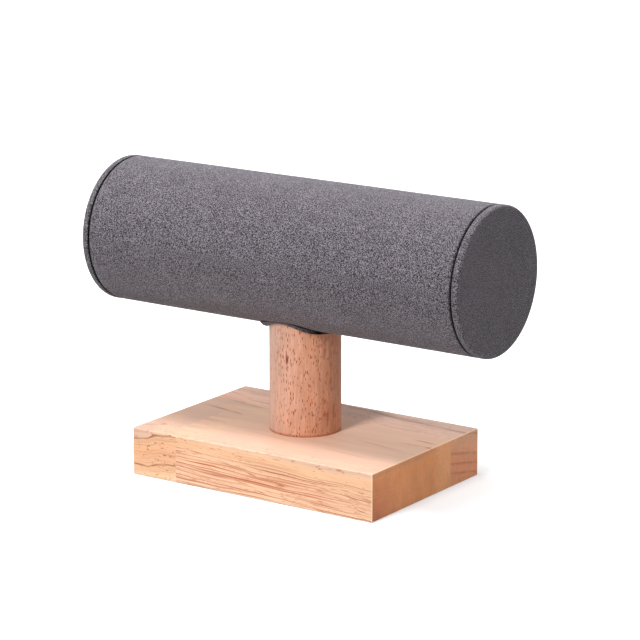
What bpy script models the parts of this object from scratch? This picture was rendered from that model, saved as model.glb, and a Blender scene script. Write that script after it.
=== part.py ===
"""Bracelet display stand: a suede-wrapped roller on a beech post and a finger-jointed rubberwood base.

Metres, +Z up. X runs along the roller, Y from the front of the base to its back, and the origin is
the middle of the base's underside. Nothing moves: the stand is glued and screwed together.
"""
import math

import bmesh
import bpy
import numpy as np

MM = 0.001

# Overall sizes
STAND_HEIGHT = 105 * MM
BASE_LENGTH = 100 * MM
BASE_DEPTH = 67 * MM
BASE_THICKNESS = 17 * MM
ROLLER_LENGTH = 155 * MM
ROLLER_RADIUS = 25.75 * MM
POST_RADIUS = 12.5 * MM

# Room left at every glued or screwed contact
GLUE_GAP = 0.3 * MM

# Base: three staves
BASE_EDGE_ROUND = 0.7 * MM
BACK_JOINT_Y = 15.6 * MM
FINGER_JOINT_X = -31.4 * MM
FINGER_LENGTH = 9 * MM
FINGER_TIP = 0.7 * MM
FINGER_HALVES = 18

# Post and its fixings
SOCKET_DEPTH = 5 * MM
POST_CHAMFER = 0.6 * MM
SCREW_LENGTH = 35 * MM
SCREW_HEAD_RADIUS = 4 * MM
SCREW_HEAD_HEIGHT = 2.3 * MM
SCREW_RADIUS = 1.8 * MM
SCREW_POINT_LENGTH = 4 * MM
SCREW_SINK = 0.4 * MM
RECESS_WIDTH = 0.9 * MM
RECESS_SPAN = 4.4 * MM
RECESS_DEPTH = 1.6 * MM

# Roller: tube, suede and end caps
SUEDE = 0.5 * MM
TUBE_WALL = 2 * MM
CAP_BOARD = 1 * MM
CAP_PLUG = 2 * MM
CAP_HEM_INNER_RADIUS = 17 * MM
SLEEVE_HEM_LENGTH = 8 * MM
RIM_ROUND = 0.9 * MM
FOLD_ROUND = 0.5 * MM
SEAM_SLIT = 0.4 * MM

# Lip of the suede round the post
LIP_FOOT_RADIUS = 17 * MM
LIP_RISE_RADIUS = 15.8 * MM
LIP_EDGE_RADIUS = 13 * MM
LIP_LOW = 0.3 * MM
LIP_BURIED = 0.3 * MM

# Flaps where the lip hangs lower: angle round the post, spread and extra depth of each
LIP_FLAPS = (
    (math.radians(214), math.radians(31), 0.95 * MM),
    (math.radians(308), math.radians(27), 1.2 * MM),
    (math.radians(95), math.radians(40), 0.5 * MM),
)

# Smoothness of round pieces
ROLLER_SEGMENTS = 72
POST_SEGMENTS = 56
SCREW_SEGMENTS = 24
LIP_SEGMENTS = 64
LIP_RINGS = 5
CORNER_STEPS = 3
SHARP_ANGLE = math.radians(32)

# Places worked out from the sizes above
AXIS_Z = STAND_HEIGHT - ROLLER_RADIUS
HALF_ROLLER = ROLLER_LENGTH / 2
SUEDE_INNER_RADIUS = ROLLER_RADIUS - SUEDE
CORE_RADIUS = SUEDE_INNER_RADIUS - GLUE_GAP
BORE_RADIUS = CORE_RADIUS - TUBE_WALL
CAP_BACK = HALF_ROLLER - 2 * SUEDE - CAP_BOARD - 2 * GLUE_GAP
SLEEVE_END = CAP_BACK - GLUE_GAP
TUBE_END = SLEEVE_END - SUEDE - GLUE_GAP
HEM_OUTER_RADIUS = BORE_RADIUS - GLUE_GAP
HEM_INNER_RADIUS = HEM_OUTER_RADIUS - SUEDE
POST_HOLE_RADIUS = POST_RADIUS + GLUE_GAP
SOCKET_FLOOR = BASE_THICKNESS - SOCKET_DEPTH
OVERSHOOT = 5 * MM

STAND_COLLECTION = "bracelet_display_stand"
GUIDE_COLLECTION = "cutters"


def clear_scene():
    """Remove whatever the scene holds."""
    for obj in list(bpy.data.objects):
        bpy.data.objects.remove(obj, do_unlink=True)


def make_collections():
    """One collection for the stand and one for the guides that cut it."""
    for name in (STAND_COLLECTION, GUIDE_COLLECTION):
        old = bpy.data.collections.get(name)
        if old:
            bpy.data.collections.remove(old)
        bpy.context.scene.collection.children.link(bpy.data.collections.new(name))


def finish(name, colour, roughness, metallic=0.0):
    """Principled material of one colour."""
    material = bpy.data.materials.new(name)
    material.use_nodes = True
    shader = material.node_tree.nodes["Principled BSDF"]
    shader.inputs["Base Color"].default_value = (*colour, 1.0)
    shader.inputs["Roughness"].default_value = roughness
    shader.inputs["Metallic"].default_value = metallic
    return material


def piece(name, mesh, material):
    """A piece of the stand, in its own material and shaded smooth up to its sharp edges."""
    obj = bpy.data.objects.new(name, mesh)
    bpy.data.collections[STAND_COLLECTION].objects.link(obj)
    if not mesh.materials:
        mesh.materials.append(material)
    mesh.shade_smooth()
    mesh.set_sharp_from_angle(angle=SHARP_ANGLE)
    return obj


def evaluated(obj):
    """The object's mesh with its modifiers applied; the object itself is removed."""
    bpy.context.view_layer.update()
    graph = bpy.context.evaluated_depsgraph_get()
    mesh = bpy.data.meshes.new_from_object(obj.evaluated_get(graph))
    bpy.data.objects.remove(obj, do_unlink=True)
    return mesh


def turned(name, profile, segments):
    """Turn a profile of (radius, height) points about Z; points on the axis close the piece."""
    mesh = bpy.data.meshes.new(name)
    points = [(radius, 0.0, height) for radius, height in profile]
    loop = [(k, (k + 1) % len(points)) for k in range(len(points))]
    on_axis = [k for k, (radius, _) in enumerate(profile) if radius == 0.0]
    if on_axis:
        loop = [edge for edge in loop if not (edge[0] in on_axis and edge[1] in on_axis)]
    mesh.from_pydata(points, loop, [])
    obj = bpy.data.objects.new(name, mesh)
    bpy.context.scene.collection.objects.link(obj)
    screw = obj.modifiers.new("Turn", "SCREW")
    screw.axis = "Z"
    screw.steps = segments
    screw.render_steps = segments
    screw.use_merge_vertices = True
    screw.merge_threshold = 0.00001
    return evaluated(obj)


def corner(radius_centre, height_centre, size, start, stop, steps=CORNER_STEPS):
    """Points of a rounded corner of a profile, from one angle to another in degrees."""
    angles = [math.radians(start + (stop - start) * k / steps) for k in range(steps + 1)]
    return [(radius_centre + size * math.cos(a), height_centre + size * math.sin(a)) for a in angles]


def extruded(name, outline, bottom, top):
    """Upright prism over a closed outline of (x, y) points, as a filled 2D curve."""
    curve = bpy.data.curves.new(name, "CURVE")
    curve.dimensions = "2D"
    curve.fill_mode = "BOTH"
    curve.extrude = (top - bottom) / 2
    spline = curve.splines.new("POLY")
    spline.points.add(len(outline) - 1)
    for point, (x, y) in zip(spline.points, outline):
        point.co = (x, y, 0.0, 1.0)
    spline.use_cyclic_u = True
    source = bpy.data.objects.new(name, curve)
    bpy.context.scene.collection.objects.link(source)
    mesh = evaluated(source)
    shape = bmesh.new()
    shape.from_mesh(mesh)
    bmesh.ops.remove_doubles(shape, verts=shape.verts, dist=0.000001)
    bmesh.ops.translate(shape, verts=shape.verts, vec=(0.0, 0.0, (top + bottom) / 2))
    bmesh.ops.recalc_face_normals(shape, faces=shape.faces)
    shape.to_mesh(mesh)
    shape.free()
    return mesh


def box_mesh(name, low, high):
    """Box between two corners."""
    shape = bmesh.new()
    bmesh.ops.create_cube(shape, size=1.0)
    size = [b - a for a, b in zip(low, high)]
    middle = [(a + b) / 2 for a, b in zip(low, high)]
    bmesh.ops.scale(shape, verts=shape.verts, vec=size)
    bmesh.ops.translate(shape, verts=shape.verts, vec=middle)
    mesh = bpy.data.meshes.new(name)
    shape.to_mesh(mesh)
    shape.free()
    return mesh


def guide(name, mesh):
    """Object that cuts or limits a piece and isn't part of the stand."""
    obj = bpy.data.objects.new(name, mesh)
    bpy.data.collections[GUIDE_COLLECTION].objects.link(obj)
    obj.hide_render = True
    obj.display_type = "WIRE"
    return obj


def combine(target, tool, operation):
    """Boolean of one object by another, kept as a live modifier."""
    modifier = target.modifiers.new(tool.name, "BOOLEAN")
    modifier.object = tool
    modifier.operation = operation
    modifier.solver = "EXACT"


# Base


def finger_line(shift, back):
    """Zigzag of the finger joint, moved by a shift square to its flanks and ended at the back joint.

    Fingers are equal trapezoids. The line starts before the front face, which cuts the first flank
    half way along.
    """
    start = -BASE_DEPTH / 2
    half_pitch = (BACK_JOINT_Y - start) / FINGER_HALVES
    points = []
    for k in range(FINGER_HALVES + 2):
        side = 0.5 if k % 2 else -0.5
        middle = start + half_pitch * (k - 0.5)
        for step in (-0.5, 0.5):
            points.append((FINGER_JOINT_X + side * FINGER_LENGTH, middle + step * FINGER_TIP))
    line = offset_line(np.array(points), shift)
    end = (float(np.interp(back, line[:, 1], line[:, 0])), back)
    return [tuple(point) for point in line if point[1] < back] + [end]


def offset_line(line, shift):
    """Polyline moved square to each of its segments, with mitred corners."""
    along = np.diff(line, axis=0)
    along /= np.linalg.norm(along, axis=1)[:, None]
    normal = np.stack([along[:, 1], -along[:, 0]], axis=1)
    before = np.vstack([normal[:1], normal])
    after = np.vstack([normal, normal[-1:]])
    mitre = (before + after) / (1.0 + np.sum(before * after, axis=1))[:, None]
    return line + shift * mitre


def base_board(name):
    """The base's outer form: a board with its edges lightly rounded."""
    half_length = BASE_LENGTH / 2
    half_depth = BASE_DEPTH / 2
    low = (-half_length, -half_depth, 0.0)
    high = (half_length, half_depth, BASE_THICKNESS)
    shape = bmesh.new()
    shape.from_mesh(box_mesh(name, low, high))
    bmesh.ops.bevel(
        shape,
        geom=list(shape.edges),
        offset=BASE_EDGE_ROUND,
        segments=CORNER_STEPS,
        profile=0.5,
        affect="EDGES",
    )
    mesh = bpy.data.meshes.new(name)
    shape.to_mesh(mesh)
    shape.free()
    return mesh


def stave(name, outline, colour):
    """One stave: the board's form inside an upright prism."""
    obj = piece(name, base_board(name), finish(name, colour, 0.55))
    limits = name + "_limits"
    prism = extruded(limits, outline, -OVERSHOOT, BASE_THICKNESS + OVERSHOOT)
    combine(obj, guide(limits, prism), "INTERSECT")
    return obj


def build_base():
    """Long and short front staves, finger-jointed end to end, and the back stave glued to both."""
    left = -BASE_LENGTH / 2 - OVERSHOOT
    right = BASE_LENGTH / 2 + OVERSHOOT
    front = -BASE_DEPTH / 2 - OVERSHOOT
    back = BASE_DEPTH / 2 + OVERSHOOT
    joint_front = BACK_JOINT_Y - GLUE_GAP / 2
    joint_back = BACK_JOINT_Y + GLUE_GAP / 2

    long_edge = finger_line(GLUE_GAP / 2, joint_front)
    short_edge = finger_line(-GLUE_GAP / 2, joint_front)
    long_outline = long_edge + [(right, joint_front), (right, front)]
    short_outline = short_edge + [(left, joint_front), (left, front)]
    back_outline = [(left, joint_back), (right, joint_back), (right, back), (left, back)]
    long_stave = stave("front_long_stave", long_outline, (0.80, 0.53, 0.30))
    stave("front_short_stave", short_outline, (0.76, 0.47, 0.25))
    stave("back_stave", back_outline, (0.62, 0.38, 0.24))
    combine(long_stave, post_socket(), "DIFFERENCE")
    combine(long_stave, screw_hole(), "DIFFERENCE")


def post_socket():
    """Blind round socket that seats the post's foot in the base."""
    mouth = BASE_THICKNESS + OVERSHOOT
    profile = [
        (0.0, mouth),
        (POST_HOLE_RADIUS, mouth),
        (POST_HOLE_RADIUS, SOCKET_FLOOR),
        (0.0, SOCKET_FLOOR),
    ]
    return guide("post_socket", turned("post_socket", profile, POST_SEGMENTS))


# Post and screw


def screw_profile(room):
    """Countersunk screw, head down and point up, grown by the room left round it."""
    head = SCREW_HEAD_RADIUS + room
    shank = SCREW_RADIUS + room
    seat = SCREW_SINK + SCREW_HEAD_HEIGHT
    tip = SCREW_SINK + SCREW_LENGTH + room
    return [
        (0.0, tip),
        (shank, tip - SCREW_POINT_LENGTH),
        (shank, seat),
        (head, SCREW_SINK),
        (0.0, SCREW_SINK),
    ]


def screw_hole():
    """The screw's hole through the base and up into the post, with its countersink run out below."""
    ready = bpy.data.objects.get("screw_hole")
    if ready:
        return ready
    head = SCREW_HEAD_RADIUS + GLUE_GAP
    profile = screw_profile(GLUE_GAP)[:-1] + [(head, -OVERSHOOT), (0.0, -OVERSHOOT)]
    return guide("screw_hole", turned("screw_hole", profile, SCREW_SEGMENTS))


def build_screw():
    """Wood screw with a cross recess in its head."""
    mesh = turned("base_screw", screw_profile(0.0), SCREW_SEGMENTS)
    screw = piece("base_screw", mesh, finish("zinc_plated_steel", (0.62, 0.62, 0.60), 0.35, 1.0))
    floor = SCREW_SINK - OVERSHOOT
    roof = SCREW_SINK + RECESS_DEPTH
    for name, half_x, half_y in (
        ("recess_across", RECESS_SPAN / 2, RECESS_WIDTH / 2),
        ("recess_along", RECESS_WIDTH / 2, RECESS_SPAN / 2),
    ):
        slot = box_mesh(name, (-half_x, -half_y, floor), (half_x, half_y, roof))
        combine(screw, guide(name, slot), "DIFFERENCE")


def build_post():
    """Beech dowel, coped at its top to sit against the tube's upper inner wall."""
    bottom = SOCKET_FLOOR + GLUE_GAP
    top = AXIS_Z + ROLLER_RADIUS
    profile = [
        (0.0, top),
        (POST_RADIUS, top),
        (POST_RADIUS, bottom + POST_CHAMFER),
        (POST_RADIUS - POST_CHAMFER, bottom),
        (0.0, bottom),
    ]
    mesh = turned("post", profile, POST_SEGMENTS)
    post = piece("post", mesh, finish("beech", (0.66, 0.36, 0.22), 0.5))
    combine(post, post_cope(), "INTERSECT")
    combine(post, screw_hole(), "DIFFERENCE")


def post_cope():
    """Arch-topped block that limits the post: an arc about the roller's axis over straight sides."""
    radius = BORE_RADIUS - GLUE_GAP
    outline = [(radius, -OVERSHOOT)]
    outline += corner(0.0, AXIS_Z, radius, 0, 180, ROLLER_SEGMENTS // 2)
    outline += [(-radius, -OVERSHOOT)]
    reach = POST_RADIUS + OVERSHOOT
    block = guide("post_cope", extruded("post_cope", outline, -reach, reach))
    block.rotation_euler = (math.pi / 2, 0.0, math.pi / 2)
    return block


# Roller


def along_roller(obj, side=1):
    """Lay a piece turned about its own Z along the roller's axis, its top towards +X or -X."""
    obj.location = (0.0, 0.0, AXIS_Z)
    obj.rotation_euler = (0.0, side * math.pi / 2, 0.0)
    return obj


def post_hole(name, radius):
    """Upright cutter that opens the roller's underside for the post."""
    profile = [(0.0, AXIS_Z), (radius, AXIS_Z), (radius, BASE_THICKNESS), (0.0, BASE_THICKNESS)]
    return guide(name, turned(name, profile, POST_SEGMENTS))


def build_tube():
    """Stiff paper tube with the post's hole through its lower wall."""
    profile = [
        (CORE_RADIUS, TUBE_END),
        (CORE_RADIUS, -TUBE_END),
        (BORE_RADIUS, -TUBE_END),
        (BORE_RADIUS, TUBE_END),
    ]
    mesh = turned("core_tube", profile, ROLLER_SEGMENTS)
    tube = along_roller(piece("core_tube", mesh, finish("grey_board", (0.38, 0.32, 0.26), 0.9)))
    combine(tube, post_hole("tube_hole", POST_HOLE_RADIUS), "DIFFERENCE")


def sleeve_profile():
    """Section of the wrapped suede: the skin, rounded over the tube's ends, and a hem in each mouth."""
    hem_end = SLEEVE_END - SLEEVE_HEM_LENGTH
    right = [(HEM_OUTER_RADIUS, hem_end), (HEM_INNER_RADIUS, hem_end)]
    right += corner(HEM_INNER_RADIUS + FOLD_ROUND, SLEEVE_END - FOLD_ROUND, FOLD_ROUND, 180, 90)
    right += corner(ROLLER_RADIUS - RIM_ROUND, SLEEVE_END - RIM_ROUND, RIM_ROUND, 90, 0)
    left = [(radius, -height) for radius, height in reversed(right)]
    inside = SLEEVE_END - SUEDE
    inner = [(HEM_OUTER_RADIUS, -inside), (SUEDE_INNER_RADIUS, -inside)]
    inner += [(SUEDE_INNER_RADIUS, inside), (HEM_OUTER_RADIUS, inside)]
    return right + left + inner


def lip_drop(angle):
    """How far the lip's edge hangs below the roller's skin: a low level and a bell curve per flap."""
    drop = np.full_like(angle, LIP_LOW)
    for middle, spread, depth in LIP_FLAPS:
        away = (angle - middle + math.pi) % (2 * math.pi) - math.pi
        drop += depth * np.exp(-((away / spread) ** 2))
    return drop


def suede_lip():
    """Ring of suede round the post's hole, laid on the roller and let down towards its edge.

    A flat turned washer is put on the roller's underside: height = axis - sqrt(R^2 - y^2), less a
    drop that grows smoothly from the washer's foot to its edge.
    """
    radii = np.linspace(LIP_FOOT_RADIUS, LIP_EDGE_RADIUS, LIP_RINGS + 1)
    thick = np.where(radii > LIP_RISE_RADIUS, LIP_BURIED, SUEDE)
    above = [(float(r), float(t / 2)) for r, t in zip(radii, thick)]
    below = [(r, -half) for r, half in above]
    mesh = turned("suede_lip", above[::-1] + below, LIP_SEGMENTS)
    flat = np.empty(len(mesh.vertices) * 3)
    mesh.vertices.foreach_get("co", flat)
    x, y, z = flat.reshape(-1, 3).T
    angle = np.arctan2(y, x) % (2 * math.pi)
    radius = np.hypot(x, y)
    rise = np.clip((LIP_RISE_RADIUS - radius) / (LIP_RISE_RADIUS - LIP_EDGE_RADIUS), 0.0, 1.0)
    rise = rise * rise * (3.0 - 2.0 * rise)
    middle_radius = ROLLER_RADIUS - SUEDE / 2
    fall = np.sqrt(middle_radius**2 - y**2)
    height = AXIS_Z - fall + z * middle_radius / fall - lip_drop(angle) * rise
    mesh.vertices.foreach_set("co", np.stack([x, y, height], axis=1).ravel())
    mesh.update()
    return guide("suede_lip", mesh)


def build_sleeve(suede):
    """Suede wrap: turned over the tube's ends, opened and lipped for the post, slit at the seam."""
    mesh = turned("sleeve_cover", sleeve_profile(), ROLLER_SEGMENTS)
    sleeve = along_roller(piece("sleeve_cover", mesh, suede))
    hole_radius = (LIP_FOOT_RADIUS + LIP_RISE_RADIUS) / 2
    combine(sleeve, post_hole("sleeve_hole", hole_radius), "DIFFERENCE")
    combine(sleeve, suede_lip(), "UNION")
    half = SEAM_SLIT / 2
    low = (-ROLLER_LENGTH, -half, BASE_THICKNESS)
    high = (ROLLER_LENGTH, half, AXIS_Z)
    combine(sleeve, guide("seam_slit", box_mesh("seam_slit", low, high)), "DIFFERENCE")


def cap_cover_profile():
    """Section of a cap's suede: flat face, rounded rim, and the hem folded on to the board's back."""
    back_round = SUEDE
    points = [(0.0, HALF_ROLLER)]
    points += corner(ROLLER_RADIUS - RIM_ROUND, HALF_ROLLER - RIM_ROUND, RIM_ROUND, 90, 0)
    points += corner(ROLLER_RADIUS - back_round, CAP_BACK + back_round, back_round, 0, -90)
    points += [(CAP_HEM_INNER_RADIUS, CAP_BACK), (CAP_HEM_INNER_RADIUS, CAP_BACK + SUEDE)]
    points += [(SUEDE_INNER_RADIUS, CAP_BACK + SUEDE), (SUEDE_INNER_RADIUS, HALF_ROLLER - SUEDE)]
    points += [(0.0, HALF_ROLLER - SUEDE)]
    return points


def disc_profile(radius, inner_face, thickness):
    """Section of a plain disc on the roller's axis."""
    outer_face = inner_face + thickness
    return [(0.0, outer_face), (radius, outer_face), (radius, inner_face), (0.0, inner_face)]


def build_caps(suede):
    """End caps, the same at both ends: a suede-covered board and the plug behind it."""
    board_colour = finish("cap_board", (0.42, 0.36, 0.29), 0.9)
    pieces = {
        "cap_cover": (cap_cover_profile(), suede),
        "cap_board": (disc_profile(CORE_RADIUS, CAP_BACK + SUEDE + GLUE_GAP, CAP_BOARD), board_colour),
        "cap_plug": (
            disc_profile(HEM_INNER_RADIUS - GLUE_GAP, CAP_BACK - GLUE_GAP - CAP_PLUG, CAP_PLUG),
            board_colour,
        ),
    }
    for kind, (profile, material) in pieces.items():
        mesh = turned(kind, profile, ROLLER_SEGMENTS)
        for side_name, side in (("left", -1), ("right", 1)):
            along_roller(piece(f"{side_name}_{kind}", mesh, material), side)


def main():
    """Build the stand from the base up."""
    clear_scene()
    make_collections()
    build_base()
    build_post()
    build_screw()
    build_tube()
    suede = finish("charcoal_suede", (0.115, 0.105, 0.115), 0.95)
    build_sleeve(suede)
    build_caps(suede)


main()
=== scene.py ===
"""Finished look of the bracelet display stand, built round its packed construction model.

The scene is in metres with +Z up. X runs along the roller and Y from the front of the base to its
back. Sizes below are in millimetres, and MM turns them into metres where a mesh or a pattern is made.
"""
import logging
import math
from collections.abc import Callable, Sequence
from dataclasses import dataclass, field
from enum import Enum
from functools import partial

import bmesh
import bpy
import numpy as np
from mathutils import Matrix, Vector


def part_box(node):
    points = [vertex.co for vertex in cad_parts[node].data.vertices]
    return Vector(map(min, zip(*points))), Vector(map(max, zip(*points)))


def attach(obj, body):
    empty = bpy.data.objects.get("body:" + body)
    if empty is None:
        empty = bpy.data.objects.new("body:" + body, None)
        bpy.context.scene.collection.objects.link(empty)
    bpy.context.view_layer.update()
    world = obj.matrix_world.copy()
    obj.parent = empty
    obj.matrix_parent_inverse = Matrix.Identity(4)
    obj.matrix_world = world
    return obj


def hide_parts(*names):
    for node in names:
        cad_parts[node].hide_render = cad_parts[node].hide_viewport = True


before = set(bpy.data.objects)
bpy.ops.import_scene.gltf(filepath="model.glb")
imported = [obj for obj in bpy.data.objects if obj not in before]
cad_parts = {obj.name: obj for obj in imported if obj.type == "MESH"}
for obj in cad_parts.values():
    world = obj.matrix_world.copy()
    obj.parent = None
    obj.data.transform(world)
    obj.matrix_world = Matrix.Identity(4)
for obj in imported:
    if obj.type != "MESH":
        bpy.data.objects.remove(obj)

MM = 0.001
BODY = "root"
# Name of the point attribute that carries the painted shade of the wrap's crease and of the grooves beside
# the caps
FOLD_SHADE_ATTRIBUTE = "mark"
LOG = logging.getLogger("bracelet_stand")

# Points nearer than this are one point, and edges bent by more than this angle stay sharp
WELD = 0.001 * MM
SHARP_ANGLE = 40.0

# Stands in for a distance of nothing, by which nothing can be divided
TINY = 1e-9

# How a Mix node blends colours: its third output and its kind of data
BLEND = {"out": 2, "data_type": "RGBA"}

Socket = bpy.types.NodeSocket
Material = bpy.types.Material
Colour = tuple[float, float, float, float]
Triple = tuple[float, float, float]
Adder = Callable[..., Socket]


class Slot(Enum):
    """The material slots, by the names that their materials take."""

    LONG_STAVE = "rubberwood_pale"
    SHORT_STAVE = "rubberwood_honey"
    BACK_STAVE = "rubberwood_brown"
    POST = "beech"
    SUEDE = "charcoal_suede"
    TUBE = "grey_board"
    BOARD = "cap_board"
    SCREW = "zinc_plated_steel"


class Side(Enum):
    """The two ends of the roller."""

    LEFT = -1
    RIGHT = 1


def linear(colour: str) -> Colour:
    """Turns an sRGB hex colour, "#rrggbb", into linear light with an alpha of 1."""
    channels = (int(colour[k : k + 2], 16) / 255 for k in (1, 3, 5))
    return (*(c / 12.92 if c <= 0.04045 else ((c + 0.055) / 1.055) ** 2.4 for c in channels), 1.0)


def grey(value: float) -> Colour:
    """Gives a plain grey in linear light."""
    return value, value, value, 1.0


def per_metre(size: float) -> float:
    """Gives the pattern scale whose features are about a size in millimetres."""
    return 1.0 / (size * MM)


def span(node: str) -> tuple[np.ndarray, np.ndarray]:
    """Gives the lowest and highest corner of a construction node, in millimetres."""
    low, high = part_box(node)
    return np.array(low) / MM, np.array(high) / MM


def roller_axis() -> float:
    """Gives the height of the roller's axis, the middle of the tube's box."""
    low, high = span("core_tube")
    return (low[2] + high[2]) / 2


def smooth_step(value: np.ndarray) -> np.ndarray:
    """Eases a value from 0 to 1: 3 t squared less 2 t cubed, held at its ends."""
    t = np.clip(value, 0.0, 1.0)
    return t * t * (3.0 - 2.0 * t)


def bell(angle: np.ndarray, middle: float, spread: float) -> np.ndarray:
    """Bell curve round a circle: exp of less the squared distance from the middle over the spread.

    Args:
        angle: Angles in radians.
        middle: The curve's middle in degrees.
        spread: Its half width in degrees.

    Returns:
        Values from 0 to 1.
    """
    away = (np.degrees(angle) - middle + 180.0) % 360.0 - 180.0
    return np.exp(-((away / spread) ** 2))


def stretch_round(
    angle: np.ndarray, place: tuple[float, float], gain: float = 1.6, floor: float = 0.2
) -> np.ndarray:
    """Stretch of a circle with soft ends: a bell curve less a floor, times a gain, eased.

    Args:
        angle: Angles in radians.
        place: The stretch's middle and half width in degrees.
        gain: How steep its ends are.
        floor: Height of the bell curve at which it begins.

    Returns:
        1 on the stretch and 0 off it.
    """
    return smooth_step(gain * (bell(angle, *place) - floor))


def round_angles(count: int) -> np.ndarray:
    """Gives evenly spaced angles round a circle, in radians."""
    return 2 * np.pi * np.arange(count) / count


def arc(centre: tuple[float, float], radius: float, start: float, stop: float, steps: int) -> np.ndarray:
    """Points of a circular arc: centre plus radius times cosine and sine of each angle.

    Args:
        centre: The arc's centre.
        radius: Its radius.
        start: First angle in degrees.
        stop: Last angle in degrees.
        steps: Number of chords.

    Returns:
        An array of steps + 1 points.
    """
    angle = np.radians(np.linspace(start, stop, steps + 1))
    return np.array(centre) + radius * np.stack([np.cos(angle), np.sin(angle)], axis=1)


def feed(node: bpy.types.Node, sources: dict[str | int, object] | Sequence[object]) -> None:
    """Feeds a node's inputs, each by a link from another node's socket or with a constant.

    Args:
        node: The node.
        sources: What feeds the inputs, in their order or by each input's name or number.
    """
    for key, source in sources.items() if isinstance(sources, dict) else enumerate(sources):
        if isinstance(source, Socket):
            node.id_data.links.new(source, node.inputs[key])
        else:
            node.inputs[key].default_value = source


def add_node(
    tree: bpy.types.NodeTree,
    kind: str,
    sources: dict[str | int, object] | Sequence[object] = (),
    out: str | int = 0,
    stops: Sequence[tuple[float, Colour]] = (),
    **settings: object,
) -> Socket:
    """Adds a shader node with its settings and links.

    Args:
        tree: The node tree that gets the node.
        kind: Blender's name for the kind of node, without its common start.
        sources: What feeds its inputs.
        out: The output to give, by name or number.
        stops: Places and colours of a colour ramp.
        **settings: The node's own properties.

    Returns:
        The output.
    """
    node = tree.nodes.new(f"ShaderNode{kind}")
    for name, value in settings.items():
        setattr(node, name, value)
    feed(node, sources)
    for number, (place, colour) in enumerate(stops):
        ramp = node.color_ramp.elements
        stop = ramp[number] if number < len(ramp) else ramp.new(place)
        stop.position = place
        stop.color = colour
    return node.outputs[out]


def new_finish(name: str) -> tuple[Material, Adder]:
    """Starts a finish.

    Args:
        name: The material's name.

    Returns:
        The material and the function that adds nodes to it.
    """
    material = bpy.data.materials.new(name)
    material.use_nodes = True
    return material, partial(add_node, material.node_tree)


def coat(material: Material, **sources: object) -> Material:
    """Feeds the material's shader.

    Args:
        material: The material.
        **sources: What feeds each input, with underscores for the spaces in its name.

    Returns:
        The material.
    """
    shader = material.node_tree.nodes["Principled BSDF"]
    feed(shader, {name.replace("_", " "): source for name, source in sources.items()})
    return material


def stretched(add: Adder, place: Socket, size: Sequence[float], **noise: float) -> Socket:
    """Adds noise whose features are drawn out to a size.

    Args:
        add: Adds a node to the material.
        place: The coordinates.
        size: Lengths of its features on X, Y and Z, in millimetres.
        **noise: Further settings of the noise.

    Returns:
        The noise's value.
    """
    drawn = add("Mapping", {"Vector": place, "Scale": tuple(per_metre(part) for part in size)})
    return add("TexNoise", {"Vector": drawn, "Scale": 1.0, **noise})


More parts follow.
